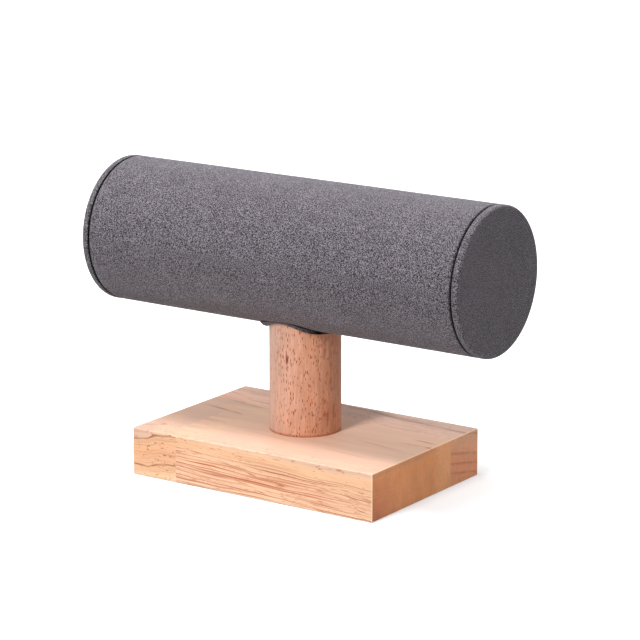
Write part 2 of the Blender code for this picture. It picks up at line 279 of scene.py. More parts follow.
@dataclass(frozen=True)
class Suede:
    """Brushed microfibre suede: short fibres that lie every way, so it is matt, mottled and rim-lit.

    The real nap is finer than the picture can show, so it is drawn at three tenths of a millimetre.

    Attributes:
        light: Colour of the fibres that stand up.
        middle: The suede's colour over all.
        dark: Colour of the pits between the fibres.
        fold_shade_colour: Painted shade: the near-black colour of the wrap's crease round the post and of the
            grooves beside the caps, where they lie in shadow.
        fibre_ends: Tint of the light that the fibres' free ends catch.
        grain: Size of the drawn nap in millimetres.
        clump: Size of the tufts that the fibres lie in.
        tufted: Share of the tufts in the tone.
        mean: Mean of nap and tufts together.
        range: How far from that mean the tone is fully dark or light.
        stroked: Contrast of the nap on the caps' faces, where it was stroked flat.
        brush: Size of the brush marks.
        relief: Height of the nap.
        sheen: How much light the free ends catch.
    """

    light: str = "#857f87"
    middle: str = "#393539"
    dark: str = "#0b0a0c"
    # Painted shade: near black for the crease round the post and the grooves beside the caps
    fold_shade_colour: str = "#0b0b0d"
    fibre_ends: str = "#dad4dc"
    grain: float = 0.31
    clump: float = 1.8
    tufted: float = 0.07
    mean: float = 0.535
    range: float = 0.07
    stroked: float = 0.66
    brush: float = 9.0
    relief: float = 0.4
    sheen: float = 0.4

    def material(self) -> Material:
        """Makes the suede: fine nap noise between three greys, soft brush marks, a low relief and painted
        shade in its folds.

        Returns:
            The material.
        """
        material, add = new_finish(Slot.SUEDE.value)
        here = add("TexCoord", out="Object")
        nap_size = {"Vector": here, "Scale": per_metre(self.grain)}
        nap = add("TexNoise", {**nap_size, "Detail": 1.5, "Roughness": 0.6})
        tuft_size = {"Vector": here, "Scale": per_metre(self.clump)}
        tufts = add("TexNoise", {**tuft_size, "Detail": 2.0, "Distortion": 0.6})
        brushed = add("TexNoise", {"Vector": here, "Scale": per_metre(self.brush), "Detail": 2.0})
        mixed = add("Math", (tufts, self.tufted, nap), operation="MULTIPLY_ADD")
        facing = add("SeparateXYZ", (here.node.outputs["Normal"],))
        endwise = add("Math", (facing, facing), operation="MULTIPLY")
        contrast = add("MapRange", (endwise, 0.0, 1.0, 1.0, self.stroked))
        centred = add("Math", (mixed, self.mean), operation="SUBTRACT")
        strengthened = add("Math", (centred, contrast, 0.5), operation="MULTIPLY_ADD")
        tones = zip((-self.range, 0.0, self.range), (self.dark, self.middle, self.light))
        stops = [(0.5 + shift, linear(tone)) for shift, tone in tones]
        tone = add("ValToRGB", (strengthened,), stops=stops)
        shade = add("MapRange", (brushed, 0.3, 0.7, 0.92, 1.08))
        napped = add("VectorMath", {0: tone, "Scale": shade}, operation="SCALE")
        # Painted shade: where the attribute is set, the colour goes near black and the sheen is taken away,
        # standing in for the shadow in the folds
        fold_shade = add("Attribute", out="Fac", attribute_name=FOLD_SHADE_ATTRIBUTE)
        return coat(
            material,
            Base_Color=add("Mix", {0: fold_shade, 6: napped, 7: linear(self.fold_shade_colour)}, **BLEND),
            Roughness=1.0,
            Specular_IOR_Level=0.1,
            Sheen_Weight=add("MapRange", (fold_shade, 0.0, 1.0, self.sheen, 0.0)),
            Sheen_Roughness=0.6,
            Sheen_Tint=linear(self.fibre_ends),
            Normal=add("Bump", {"Height": nap, "Strength": 0.8, "Distance": self.relief * MM}),
        )


@dataclass(frozen=True)
class Streak:
    """One dark growth line of a stave.

    Attributes:
        level: Its height in the stave's ring measure, in millimetres.
        width: Its width in millimetres.
        depth: How dark it is, from 0 to 1.
    """

    level: float
    width: float
    depth: float


@dataclass(frozen=True)
class Flame:
    """A short dark streak where a growth layer comes out on the top, as a slim ellipse.

    Attributes:
        start: The (x, y) place of its one tip, in millimetres.
        stop: The place of the other tip.
        width: Its width in the middle.
        depth: How dark it is, from 0 to 1.
        top: Height of the board's top.
        thickness: How far the streak goes down into the wood.
    """

    start: tuple[float, float]
    stop: tuple[float, float]
    width: float
    depth: float
    top: float = 17.0
    thickness: float = 1.2

    def darkness(self, add: Adder, here: Socket) -> Socket:
        """Adds how dark the streak makes each point.

        Args:
            add: Adds a node to the material.
            here: The point's place.

        Returns:
            Values from 0 to the streak's depth.
        """
        start, stop = np.array(self.start), np.array(self.stop)
        middle = (start + stop) / 2 * MM
        along = stop - start
        fit = {
            "Vector": here,
            "Location": (middle[0], middle[1], self.top * MM),
            "Rotation": (0.0, 0.0, math.atan2(along[1], along[0])),
            "Scale": (np.linalg.norm(along) / 2 * MM, self.width / 2 * MM, self.thickness * MM),
        }
        fitted = add("Mapping", fit, vector_type="TEXTURE")
        away = add("VectorMath", (fitted,), out="Value", operation="LENGTH")
        return add("MapRange", (away, 0.2, 1.0, self.depth, 0.0))


@dataclass(frozen=True)
class Spot:
    """The sockets that say where a shaded point lies in a stave.

    Attributes:
        here: Its place in metres.
        place: The same, shifted by the stave's seed.
        measure: Its ring measure in millimetres.
        share: The ring measure as a share of its span.
        end: 1 on end grain and 0 elsewhere.
    """

    here: Socket
    place: Socket
    measure: Socket
    share: Socket
    end: Socket


@dataclass(frozen=True)
class Rubberwood:
    """Oiled rubberwood, sanded smooth: pale, with long growth lines, fibres and open pores.

    The ring measure of a point is its place along a slanted direction, so that rings are slanted
    layers through the stave: they show as long lines on its sides and as level bands on its end.
    Sizes of patterns are their length along the grain, width across it and height.

    Attributes:
        slot: The slot that it fills.
        tones: Places in the ring measure, in millimetres, and the wood's colour there.
        streaks: The broad dark growth lines.
        grain_bands: Places in the ring measure and how strong the fine dark lines are there.
        streak_colour: The colour of a growth line.
        end_colour: What the wood's colour is multiplied by on end grain, which drinks more oil.
        across: Direction of the ring measure.
        flames: The short dark streaks on the top.
        wave: How far a growth line wanders, in millimetres.
        wave_length: Over what length it does so.
        wave_girth: Over what width and height it does so.
        reach: How deep behind the front face the growth lines fade out, in millimetres.
        span: The ring measure at which the ramps end, in millimetres.
        slant: Rise of the short dashes across the growth lines, per length along the grain.
        gap_size: Size of the breaks in the growth lines.
        thread_size: Size of the fine long lines.
        thread_cut: Noise at which such a line begins and at which it is fully dark.
        dash_size: Size of the short dashes.
        dash_cut: The same two values for a dash.
        fibre_size: Size of the fibres.
        band_size: Size of the paler and darker bands.
        ray_size: Size of the rays on end grain.
        end_lines: How strong the dark growth lines are on end grain.
        end_threads: How strong the fine lines are there.
        speckle: Size of the cut fibres there.
        stain: Centre, in millimetres, and reach of the reddish corner of the end grain.
        stain_colour: What the wood's colour is multiplied by in that corner.
        sapwood: Places on Y, in millimetres, between which the end grain turns to its paler sapwood.
        sapwood_colour: The sapwood's colour.
        sapwood_share: How far the end grain takes that colour.
        pore_length: Length of an open pore.
        pore_width: Its width and height.
        pores: How dark the pores are, from 0 to 1.
        edge_highlight_colour: Painted highlight: the paler colour of the ends' eased edges, where they catch
            the light.
        edge_highlight: How far those edges take that colour, from 0 to 1.
        seed: Shift of the patterns, in metres, so that no two staves are alike.
    """

    slot: Slot
    tones: tuple[tuple[float, str], ...]
    streaks: tuple[Streak, ...]
    grain_bands: tuple[tuple[float, float], ...]
    streak_colour: str
    end_colour: str
    across: Triple
    flames: tuple[Flame, ...] = ()
    wave: float = 0.6
    wave_length: float = 30.0
    wave_girth: tuple[float, float] = (12.0, 6.0)
    reach: float = 200.0
    span: float = 17.0
    slant: float = 0.13
    gap_size: Triple = (16.0, 6.0, 1.5)
    thread_size: Triple = (38.0, 7.0, 0.44)
    thread_cut: tuple[float, float] = (0.5, 0.64)
    dash_size: Triple = (7.0, 5.0, 0.6)
    dash_cut: tuple[float, float] = (0.58, 0.74)
    fibre_size: Triple = (24.0, 0.6, 0.6)
    band_size: Triple = (90.0, 4.5, 9.0)
    ray_size: Triple = (4.0, 0.5, 6.0)
    end_lines: float = 0.3
    end_threads: float = 0.15
    speckle: float = 0.8
    stain: tuple[Triple, float] = ((50.0, -33.5, 0.0), 17.0)
    stain_colour: str = "#cf9786"
    sapwood: tuple[float, float] = (4.0, 9.0)
    sapwood_colour: str = "#ffe0bf"
    sapwood_share: float = 0.7
    pore_length: float = 2.4
    pore_width: float = 0.45
    pores: float = 0.6
    # Painted highlight on the ends' eased edges
    edge_highlight_colour: str = "#ffdfb4"
    edge_highlight: float = 0.8
    seed: float = 0.0

    def ring_stops(self) -> list[tuple[float, Colour]]:
        """Turns the growth lines into a ramp of how dark the wood is at each ring measure.

        Returns:
            The ramp's stops: each line rises from 0 to its depth and falls to 0 over its width.
        """
        stops = [(0.0, grey(0.0))]
        for streak in self.streaks:
            for shift, value in ((-0.5, 0.0), (0.0, streak.depth), (0.5, 0.0)):
                stops.append(((streak.level + shift * streak.width) / self.span, grey(value)))
        return stops

    def threads(
        self, add: Adder, spot: Spot, measure: Socket, size: Triple, cut: tuple[float, float]
    ) -> Socket:
        """Adds fine dark lines that lie in the growth layers.

        Args:
            add: Adds a node to the material.
            spot: Where the point lies.
            measure: The ring measure, straight or slanted, in millimetres.
            size: Size of the lines.
            cut: Noise values at which a line begins and at which it is fully dark.

        Returns:
            Values from 0 to 1.
        """
        length, width, thickness = size
        x = add("SeparateXYZ", (spot.place,))
        layered = add("CombineXYZ", (x, x.node.outputs["Y"], measure))
        scale = (per_metre(length), per_metre(width), 1.0 / thickness)
        drawn = add("Mapping", {"Vector": layered, "Scale": scale})
        noise = add("TexNoise", {"Vector": drawn, "Scale": 1.0, "Detail": 2.5})
        return add("MapRange", (noise, *cut))

    def growth_lines(self, add: Adder, spot: Spot) -> Socket:
        """Adds the broad dark lines, broken here and there, and the fine ones between them.

        Args:
            add: Adds a node to the material.
            spot: Where the point lies.

        Returns:
            How dark they make each point, from 0 to 1.
        """
        broad = add("ValToRGB", (spot.share,), stops=self.ring_stops())
        gaps = stretched(add, spot.place, self.gap_size, Detail=2.0)
        broken = add("MapRange", (gaps, 0.36, 0.56, 0.3, 1.0))
        on_end = add("MapRange", (spot.end, 0.0, 1.0, 1.0, self.end_lines))
        kept = add("Math", (broken, on_end), operation="MULTIPLY")
        whole = add("Math", (broad, kept), operation="MULTIPLY")
        stops = [(level / self.span, grey(strength)) for level, strength in self.grain_bands]
        bands = add("ValToRGB", (spot.share,), stops=stops)
        x = add("SeparateXYZ", (spot.place,))
        slanted = add("Math", (x, self.slant / MM, spot.measure), operation="MULTIPLY_ADD")
        thread = self.threads(add, spot, spot.measure, self.thread_size, self.thread_cut)
        dash = self.threads(add, spot, slanted, self.dash_size, self.dash_cut)
        either = add("Math", (thread, dash), operation="MAXIMUM")
        on_side = add("MapRange", (spot.end, 0.0, 1.0, 1.0, self.end_threads))
        shown = add("Math", (bands, on_side), operation="MULTIPLY")
        fine = add("Math", (either, shown), operation="MULTIPLY")
        return add("Math", (whole, fine), operation="MAXIMUM")

    def darkness(self, add: Adder, spot: Spot, front: float) -> Socket:
        """Adds how dark the growth lines, pores and flames make each point.

        Args:
            add: Adds a node to the material.
            spot: Where the point lies.
            front: Where the front face is on Y, in metres.

        Returns:
            Values from 0 to 1.
        """
        lines = self.growth_lines(add, spot)
        y = add("SeparateXYZ", (spot.here,), out="Y")
        depths = (y, front, front + self.reach * MM, 1.0, 0.0)
        fade = add("MapRange", depths, interpolation_type="SMOOTHSTEP")
        holes = stretched(add, spot.place, (self.pore_length, self.pore_width, self.pore_width))
        pore = add("MapRange", (holes, 0.62, 0.7, 0.0, self.pores))
        drawn_in = add("Math", (lines, pore), operation="MAXIMUM")
        dark = add("Math", (drawn_in, fade), operation="MULTIPLY")
        for flame in self.flames:
            dark = add("Math", (dark, flame.darkness(add, spot.here)), operation="MAXIMUM")
        return dark

    def end_tone(self, add: Adder, spot: Spot) -> Socket:
        """Adds what the wood's colour is multiplied by on end grain: oiled, speckled, red in a corner.

        Args:
            add: Adds a node to the material.
            spot: Where the point lies.

        Returns:
            The colour.
        """
        rays = stretched(add, spot.place, self.ray_size, Detail=2.0)
        speckle = {"Vector": spot.place, "Scale": per_metre(self.speckle), "Detail": 2.0}
        cut_ends = add("Math", (add("TexNoise", speckle), 0.9, rays), operation="MULTIPLY_ADD")
        ray_tone = add("MapRange", (cut_ends, 0.6, 1.3, 0.9, 1.09))
        oiled = add("VectorMath", {0: linear(self.end_colour)[:3], "Scale": ray_tone}, operation="SCALE")
        centre, reach = self.stain
        corner = tuple(part * MM for part in centre)
        away = add("VectorMath", (spot.here, corner), out="Value", operation="DISTANCE")
        stained = add("MapRange", (away, 0.0, reach * MM, 1.0, 0.0))
        return add("Mix", {0: stained, 6: oiled, 7: linear(self.stain_colour)}, **BLEND)

    def material(self, front: float) -> Material:
        """Makes the wood.

        Args:
            front: Where the front face is on Y, in millimetres.

        Returns:
            The material.
        """
        material, add = new_finish(self.slot.value)
        here = add("TexCoord", out="Object")
        place = add("VectorMath", (here, (self.seed, self.seed, self.seed)), operation="ADD")
        wave_size = (self.wave_length, *self.wave_girth)
        waves = stretched(add, place, wave_size, Detail=2.0, Roughness=0.45)
        wander = add("MapRange", (waves, 0.25, 0.75, -self.wave, self.wave))
        across = tuple(part / MM for part in self.across)
        level = add("VectorMath", (here, across), out="Value", operation="DOT_PRODUCT")
        measure = add("Math", (level, wander), operation="ADD")
        share = add("Math", (measure, self.span), operation="DIVIDE")
        facing = add("SeparateXYZ", (here.node.outputs["Normal"],))
        endwise = add("Math", (facing,), operation="ABSOLUTE")
        end = add("MapRange", (endwise, 0.5, 0.9), interpolation_type="SMOOTHSTEP")
        spot = Spot(here, place, measure, share, end)
        stops = [(at / self.span, linear(colour)) for at, colour in self.tones]
        tone = add("ValToRGB", (share,), stops=stops)
        dark = self.darkness(add, spot, front * MM)
        lined = add("Mix", {0: dark, 6: tone, 7: linear(self.streak_colour)}, **BLEND)
        fibre = stretched(add, place, self.fibre_size, Detail=3.0, Roughness=0.65)
        bands = stretched(add, place, self.band_size, Detail=2.0)
        mixed = add("Math", (bands, 0.8, fibre), operation="MULTIPLY_ADD")
        figure = add("MapRange", (mixed, 0.65, 1.15, 0.9, 1.08))
        y = add("SeparateXYZ", (here,), out="Y")
        inner, outer = (edge * MM for edge in self.sapwood)
        sapwood = add("MapRange", (y, inner, outer, 0.0, self.sapwood_share))
        on_end = add("Math", (sapwood, end), operation="MULTIPLY")
        paler = add("Mix", {0: on_end, 6: lined, 7: linear(self.sapwood_colour)}, **BLEND)
        toned = add("VectorMath", {0: paler, "Scale": figure}, operation="SCALE")
        end_toned = add("VectorMath", (toned, self.end_tone(add, spot)), operation="MULTIPLY")
        colour = add("Mix", {0: end, 6: toned, 7: end_toned}, **BLEND)
        # Painted highlight: edges tilted halfway between the end and the sides or top turn paler
        squared = add("Math", (facing, facing), operation="MULTIPLY")
        rest = add("Math", (1.0, squared), operation="SUBTRACT")
        on_edge = add("Math", (squared, rest), operation="MULTIPLY")
        edge_lit = add("MapRange", (on_edge, 0.03, 0.2, 0.0, self.edge_highlight))
        return coat(
            material,
            Base_Color=add("Mix", {0: edge_lit, 6: colour, 7: linear(self.edge_highlight_colour)}, **BLEND),
            Roughness=add("MapRange", (fibre, 0.3, 0.7, 0.5, 0.62)),
            Specular_IOR_Level=0.35,
            IOR=1.5,
            Normal=add("Bump", {"Height": fibre, "Strength": 0.25, "Distance": 0.05 * MM}),
        )


@dataclass(frozen=True)
class Beech:
    """Turned and sanded beech: even, pink-brown, with the short dark flecks of its rays.

    Attributes:
        tones: Places towards the heart side, in millimetres, and the colour there: the wood's own, darkened
            and reddened towards that side as painted shade.
        fleck: Colour of a ray's end.
        foot: Colour of the ring at the foot: painted shade and bounced light where the post stands on the
            base.
        heart_and_shade_side: Where round the dowel the heart side is, in degrees from +X, which is also the
            side that the tones darken as painted shade.
        heartwood: Places towards that side between which the brown blotches begin.
        cell_width: Spacing of the flecks round the dowel, in millimetres.
        cell_height: Their spacing along it.
        fleck_reach: Radius of the largest fleck, as a share of its cell.
        ray_side: Where round the dowel the rays are cut so that their flecks show most.
        ray_strength: How dark the flecks are on that side and away from it.
        patches: How far the tones wander, in millimetres.
        blotches: How dark the brown blotches of the heart side are, from 0 to 1.
        knot: Place round the dowel in degrees, height, half width and half height of one large fleck.
        foot_shade_band: Heights over which that painted ring fades out.
        glue: How strong that painted ring is, from 0 to 1.
        fibre_size: Size of the fibres, on X, Y and Z in millimetres.
        band_size: Size of the paler and darker bands.
        patch_size: Size of the patches over which the tones wander.
        blotch_size: Size of the brown blotches.
    """

    tones: tuple[tuple[float, str], ...] = (
        (-14.0, "#cfaa9c"),
        (-5.0, "#d8b09d"),
        (4.0, "#d6a289"),
        (14.0, "#cb8a67"),
    )
    fleck: str = "#7c2f12"
    # Painted shade and bounced light at the foot
    foot: str = "#a4502b"
    heart_and_shade_side: float = -12.0
    heartwood: tuple[float, float] = (11.3, 12.1)
    cell_width: float = 0.54
    cell_height: float = 2.3
    fleck_reach: float = 0.36
    ray_side: float = -64.0
    ray_strength: tuple[float, float] = (0.9, 0.3)
    patches: float = 6.0
    blotches: float = 0.45
    knot: tuple[float, float, float, float] = (-85.5, 44.3, 0.55, 1.9)
    foot_shade_band: tuple[float, float] = (17.2, 18.0)
    glue: float = 0.7
    fibre_size: Triple = (0.5, 0.5, 7.0)
    band_size: Triple = (5.0, 5.0, 26.0)
    patch_size: Triple = (3.5, 3.5, 7.0)
    blotch_size: Triple = (1.8, 1.8, 3.2)

    def flecks(self, add: Adder, around: Socket, height: Socket, radius: float) -> Socket:
        """Adds the flecks, as ellipses about the centres of scattered cells, and the large one.

        Args:
            add: Adds a node to the material.
            around: Distance round the dowel in millimetres.
            height: Height in millimetres.
            radius: The dowel's radius in millimetres.

        Returns:
            How dark the flecks make each point, from 0 to 1.
        """
        unrolled = add("CombineXYZ", (around, height))
        cell = (1 / self.cell_width, 1 / self.cell_height, 1.0)
        drawn = add("VectorMath", (unrolled, cell), operation="MULTIPLY")
        off_centre = add("TexVoronoi", {"Vector": drawn, "Scale": 1.0}, voronoi_dimensions="2D")
        lot = add("SeparateColor", (off_centre.node.outputs["Color"],))
        reach = add("MapRange", (lot, 0.25, 1.0, 0.0, self.fleck_reach))
        inside = add("Math", (reach, off_centre), operation="SUBTRACT")
        turned = add("Math", (around, -math.radians(self.ray_side) * radius))
        aside = add("Math", (turned,), operation="ABSOLUTE")
        strength = add("MapRange", (aside, 0.3 * radius, radius, *self.ray_strength))
        small = add("MapRange", (inside, -0.04, 0.08, 0.0, strength))
        angle, level, half_width, half_height = self.knot
        shape = (1 / half_width, 1 / half_height, 1.0)
        centre = (math.radians(angle) * radius / half_width, level / half_height, 0.0)
        scaled = add("VectorMath", (unrolled, shape), operation="MULTIPLY")
        away = add("VectorMath", (scaled, centre), out="Value", operation="DISTANCE")
        large = add("MapRange", (away, 0.5, 1.2, 1.0, 0.0))
        return add("Math", (small, large), operation="MAXIMUM")

    def material(self, radius: float) -> Material:
        """Makes the beech, its grain along Z.

        Args:
            radius: The dowel's radius in millimetres.

        Returns:
            The material.
        """
        material, add = new_finish(Slot.POST.value)
        here = add("TexCoord", out="Object")
        x, y, z = add("SeparateXYZ", (here,)).node.outputs
        turn = add("Math", (y, x), operation="ARCTAN2")
        around = add("Math", (turn, radius), operation="MULTIPLY")
        height = add("Math", (z, MM), operation="DIVIDE")
        fibre = stretched(add, here, self.fibre_size, Detail=3.0)
        bands = stretched(add, here, self.band_size, Detail=2.0)
        blend = add("Math", (bands, 0.4, fibre), operation="MULTIPLY_ADD")
        figure = add("MapRange", (blend, 0.5, 0.9, 0.8, 1.13))
        # The tones darken and redden towards one side: partly the wood's heart side, partly painted shade on
        # the side away from the lamps
        side = math.radians(self.heart_and_shade_side)
        towards = (math.cos(side) / MM, math.sin(side) / MM, 0.0)
        towards_heart_and_shade = add("VectorMath", (here, towards), out="Value", operation="DOT_PRODUCT")
        wander = stretched(add, here, self.patch_size, Detail=2.0)
        patchy = add("Math", (wander, 2 * self.patches, -self.patches), operation="MULTIPLY_ADD")
        depth = add("Math", (towards_heart_and_shade, patchy), operation="ADD")
        first, last = self.tones[0][0], self.tones[-1][0]
        share = add("MapRange", (depth, first, last))
        stops = [((at - first) / (last - first), linear(colour)) for at, colour in self.tones]
        tone = add("ValToRGB", (share,), stops=stops)
        blots = stretched(add, here, self.blotch_size, Detail=1.0)
        blotch = add("MapRange", (blots, 0.55, 0.72, 0.0, self.blotches))
        heartwood = add("MapRange", (towards_heart_and_shade, *self.heartwood))
        stained = add("Math", (blotch, heartwood), operation="MULTIPLY")
        blotched = add("Mix", {0: stained, 6: tone, 7: linear(self.fleck)}, **BLEND)
        aged = add("VectorMath", {0: blotched, "Scale": figure}, operation="SCALE")
        flecks = self.flecks(add, around, height, radius)
        flecked = add("Mix", {0: flecks, 6: aged, 7: linear(self.fleck)}, **BLEND)
        # Painted shade and bounced light: a red-brown ring at the post's foot, just above the base
        foot_shaded = add("MapRange", (height, *self.foot_shade_band, self.glue, 0.0))
        return coat(
            material,
            Base_Color=add("Mix", {0: foot_shaded, 6: flecked, 7: linear(self.foot)}, **BLEND),
            Roughness=add("MapRange", (fibre, 0.3, 0.7, 0.45, 0.58)),
            Specular_IOR_Level=0.35,
            IOR=1.5,
            Normal=add("Bump", {"Height": fibre, "Strength": 0.2, "Distance": 0.05 * MM}),
        )


@dataclass(frozen=True)
class PaperBoard:
    """Raw grey paper board: matt compacted pulp with darker and paler fibres.

    Attributes:
        slot: The slot that it fills.
        light: Colour of the pale fibres.
        dark: Colour of the dark fibres.
        fibre: Size of the fibres' clumps in millimetres.
    """

    slot: Slot
    light: str
    dark: str
    fibre: float = 0.8

    def material(self) -> Material:
        """Makes the board.

        Returns:
            The material.
        """
        material, add = new_finish(self.slot.value)
        here = add("TexCoord", out="Object")
        size = {"Vector": here, "Scale": per_metre(self.fibre)}
        pulp = add("TexNoise", {**size, "Detail": 4.0, "Distortion": 1.2})
        stops = [(0.35, linear(self.dark)), (0.65, linear(self.light))]
        return coat(
            material,
            Base_Color=add("ValToRGB", (pulp,), stops=stops),
            Roughness=0.92,
            Specular_IOR_Level=0.2,
            Normal=add("Bump", {"Height": pulp, "Strength": 0.4, "Distance": 0.05 * MM}),
        )


@dataclass(frozen=True)
class ZincPlate:
    """Zinc-plated steel: semi-bright, with the cloudy roughness of a barrel-plated screw.

    Attributes:
        bright: Colour of the clear plating.
        dull: Colour of the clouds.
        cloud: Size of a cloud in millimetres.
    """

    bright: str = "#c9cbc8"
    dull: str = "#a9aba6"
    cloud: float = 1.5

    def material(self) -> Material:
        """Makes the plating.

        Returns:
            The material.
        """
        material, add = new_finish(Slot.SCREW.value)
        here = add("TexCoord", out="Object")
        cloud = add("TexNoise", {"Vector": here, "Scale": per_metre(self.cloud), "Detail": 4.0})
        stops = [(0.35, linear(self.dull)), (0.65, linear(self.bright))]
        return coat(
            material,
            Base_Color=add("ValToRGB", (cloud,), stops=stops),
            Metallic=1.0,
            Roughness=add("MapRange", (cloud, 0.3, 0.7, 0.28, 0.45)),
        )


def place_object(name: str, data: bpy.types.ID) -> bpy.types.Object:
    """Puts a new object into the scene, at the origin.

    Args:
        name: Its name.
        data: Its mesh, lamp or camera.

    Returns:
        The object.
    """
    piece = bpy.data.objects.new(name, data)
    bpy.context.scene.collection.objects.link(piece)
    return piece


@dataclass
class Skin:
    """A mesh in the making: stretches of surface in millimetres that share one list of points.

    Attributes:
        points: Blocks of coordinates.
        marks: For each block, the mark of each point, from 0 to 1, which a finish can read.
        faces: Point numbers of each face.
        rounded: Whether each face is part of a curved surface.
    """

    points: list[np.ndarray] = field(default_factory=list)
    marks: list[np.ndarray] = field(default_factory=list)
    faces: list[list[int]] = field(default_factory=list)
    rounded: list[bool] = field(default_factory=list)

    def add_grid(self, grid: np.ndarray, wrap: bool = False, mark: np.ndarray | float = 0.0) -> np.ndarray:
        """Adds a surface whose faces look along (next row) x (next column).

        Args:
            grid: Points by row and column.
            wrap: Whether the last column joins the first.
            mark: The points' marks.

        Returns:
            The points' numbers.
        """
        start = sum(len(block) for block in self.points)
        self.points.append(grid.reshape(-1, 3))
        self.marks.append(np.broadcast_to(mark, grid.shape[:-1]).ravel())
        numbers = start + np.arange(grid[..., 0].size).reshape(grid.shape[:-1])
        here = numbers if wrap else numbers[:, :-1]
        beside = np.roll(numbers, -1, axis=1) if wrap else numbers[:, 1:]
        quads = np.stack([here[:-1], here[1:], beside[1:], beside[:-1]], axis=-1).reshape(-1, 4)
        self.faces += quads.tolist()
        self.rounded += [True] * len(quads)
        return numbers

    def add_flat(self, loop: Sequence[int]) -> None:
        """Adds one flat face over a closed loop of point numbers."""
        self.faces.append(list(loop))
        self.rounded.append(False)

    def build(self, name: str, material: Material, closed: bool = True) -> bpy.types.Object:
        """Puts the surface into a mesh object at the origin.

        Args:
            name: The piece's name.
            material: Its finish.
            closed: Whether the surface is a closed body, whose faces are turned outwards.

        Returns:
            The object, smooth up to its sharp edges.
        """
        mesh = bpy.data.meshes.new(name)
        mesh.from_pydata((np.concatenate(self.points) * MM).tolist(), [], self.faces)
        mesh.polygons.foreach_set("use_smooth", self.rounded)
        layer = mesh.attributes.new(FOLD_SHADE_ATTRIBUTE, "FLOAT", "POINT")
        layer.data.foreach_set("value", np.concatenate(self.marks))
        shape = bmesh.new()
        shape.from_mesh(mesh)
        bmesh.ops.remove_doubles(shape, verts=shape.verts, dist=WELD)
        if closed:
            bmesh.ops.recalc_face_normals(shape, faces=shape.faces)
        shape.to_mesh(mesh)
        shape.free()
        mesh.set_sharp_from_angle(angle=math.radians(SHARP_ANGLE))
        mesh.materials.append(material)
        return place_object(name, mesh)


def thicken(piece: bpy.types.Object, thickness: float) -> None:
    """Gives a sheet its thickness, behind its outer face.

    Args:
        piece: The sheet.
        thickness: Its thickness in millimetres.
    """
    wall = piece.modifiers.new("Thickness", "SOLIDIFY")
    wall.thickness = thickness * MM
    wall.offset = -1.0


def settle(piece: bpy.types.Object, slot: Slot, *nodes: str) -> None:
    """Gives a finished piece its body and hides the construction nodes that it stands for.

    Args:
        piece: The piece.
        slot: Its material slot; not used.
        *nodes: The construction nodes that it replaces.
    """
    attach(piece, BODY)
    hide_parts(*nodes)
    LOG.info("%s stands for %s, %d faces", piece.name, ", ".join(nodes), len(piece.data.polygons))


def dress(node: str, material: Material) -> None:
    """Gives a construction node, which stays as it is, its finish.

    Args:
        node: The node's name.
        material: Its finish.
    """
    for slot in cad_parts[node].material_slots:
        slot.material = material
    LOG.info("%s keeps its construction mesh and takes %s", node, material.name)


TOP_FLAMES = (
    Flame((-49.0, 5.5), (-27.0, 1.0), 2.2, 0.45),
    Flame((-36.0, 3.3), (-27.0, 1.1), 2.0, 0.5),
    Flame((-46.0, 15.0), (-18.0, 11.0), 2.4, 0.3),
    Flame((-50.5, -30.0), (-43.0, -24.0), 3.0, 0.3),
    Flame((-44.8, -25.4), (-42.2, -23.2), 1.8, 0.7),
    Flame((38.0, 8.8), (51.0, 7.6), 2.0, 0.6),
    Flame((34.0, 2.6), (51.0, 3.0), 2.2, 0.35),
    Flame((47.0, 2.4), (51.0, 3.4), 1.8, 1.0),
    Flame((20.0, -2.0), (46.0, -6.0), 2.0, 0.3),
    Flame((-20.0, -14.0), (14.0, -17.5), 2.0, 0.2),
    Flame((16.0, -17.0), (46.0, -20.0), 2.0, 0.2),
)
LONG_WOOD = Rubberwood(
    slot=Slot.LONG_STAVE,
    tones=(
        (0.0, "#f3cba9"),
        (6.0, "#f1c3a1"),
        (11.0, "#f1c4a0"),
        (14.0, "#f3c197"),
        (15.8, "#efc5a2"),
        (16.8, "#e5bca3"),
    ),
    streaks=(
        Streak(4.1, 0.5, 0.55),
        Streak(5.6, 0.7, 0.9),
        Streak(6.9, 0.5, 0.6),
        Streak(8.9, 0.55, 0.7),
        Streak(11.5, 0.5, 0.5),
    ),
    grain_bands=((0.0, 0.65), (2.0, 0.9), (10.5, 0.9), (13.0, 0.3), (16.0, 0.12)),
    streak_colour="#b5572d",
    end_colour="#ffd4b0",
    across=(0.0235, 0.0, 1.0),
    flames=TOP_FLAMES,
    reach=16.0,
    seed=0.13,
)
SHORT_WOOD = Rubberwood(
    slot=Slot.SHORT_STAVE,
    tones=(
        (4.0, "#f5d0ab"),
        (8.0, "#f1bf96"),
        (13.0, "#edb48c"),
        (18.0, "#f1bd94"),
        (19.6, "#e9bfa1"),
        (21.5, "#ddb59f"),
    ),
    streaks=(Streak(8.7, 1.1, 0.85), Streak(18.8, 1.1, 0.9)),
    grain_bands=((4.0, 0.1), (8.0, 0.25), (14.0, 0.3), (18.0, 0.25), (20.0, 0.1)),
    streak_colour="#85390f",
    end_colour="#ffd4b0",
    across=(-0.1, 0.0, 1.0),
    flames=TOP_FLAMES,
    wave=1.2,
    wave_length=11.0,
    reach=30.0,
    span=22.0,
    slant=-0.05,
    pore_length=1.3,
    pore_width=0.75,
    pores=0.75,
    seed=0.52,
)
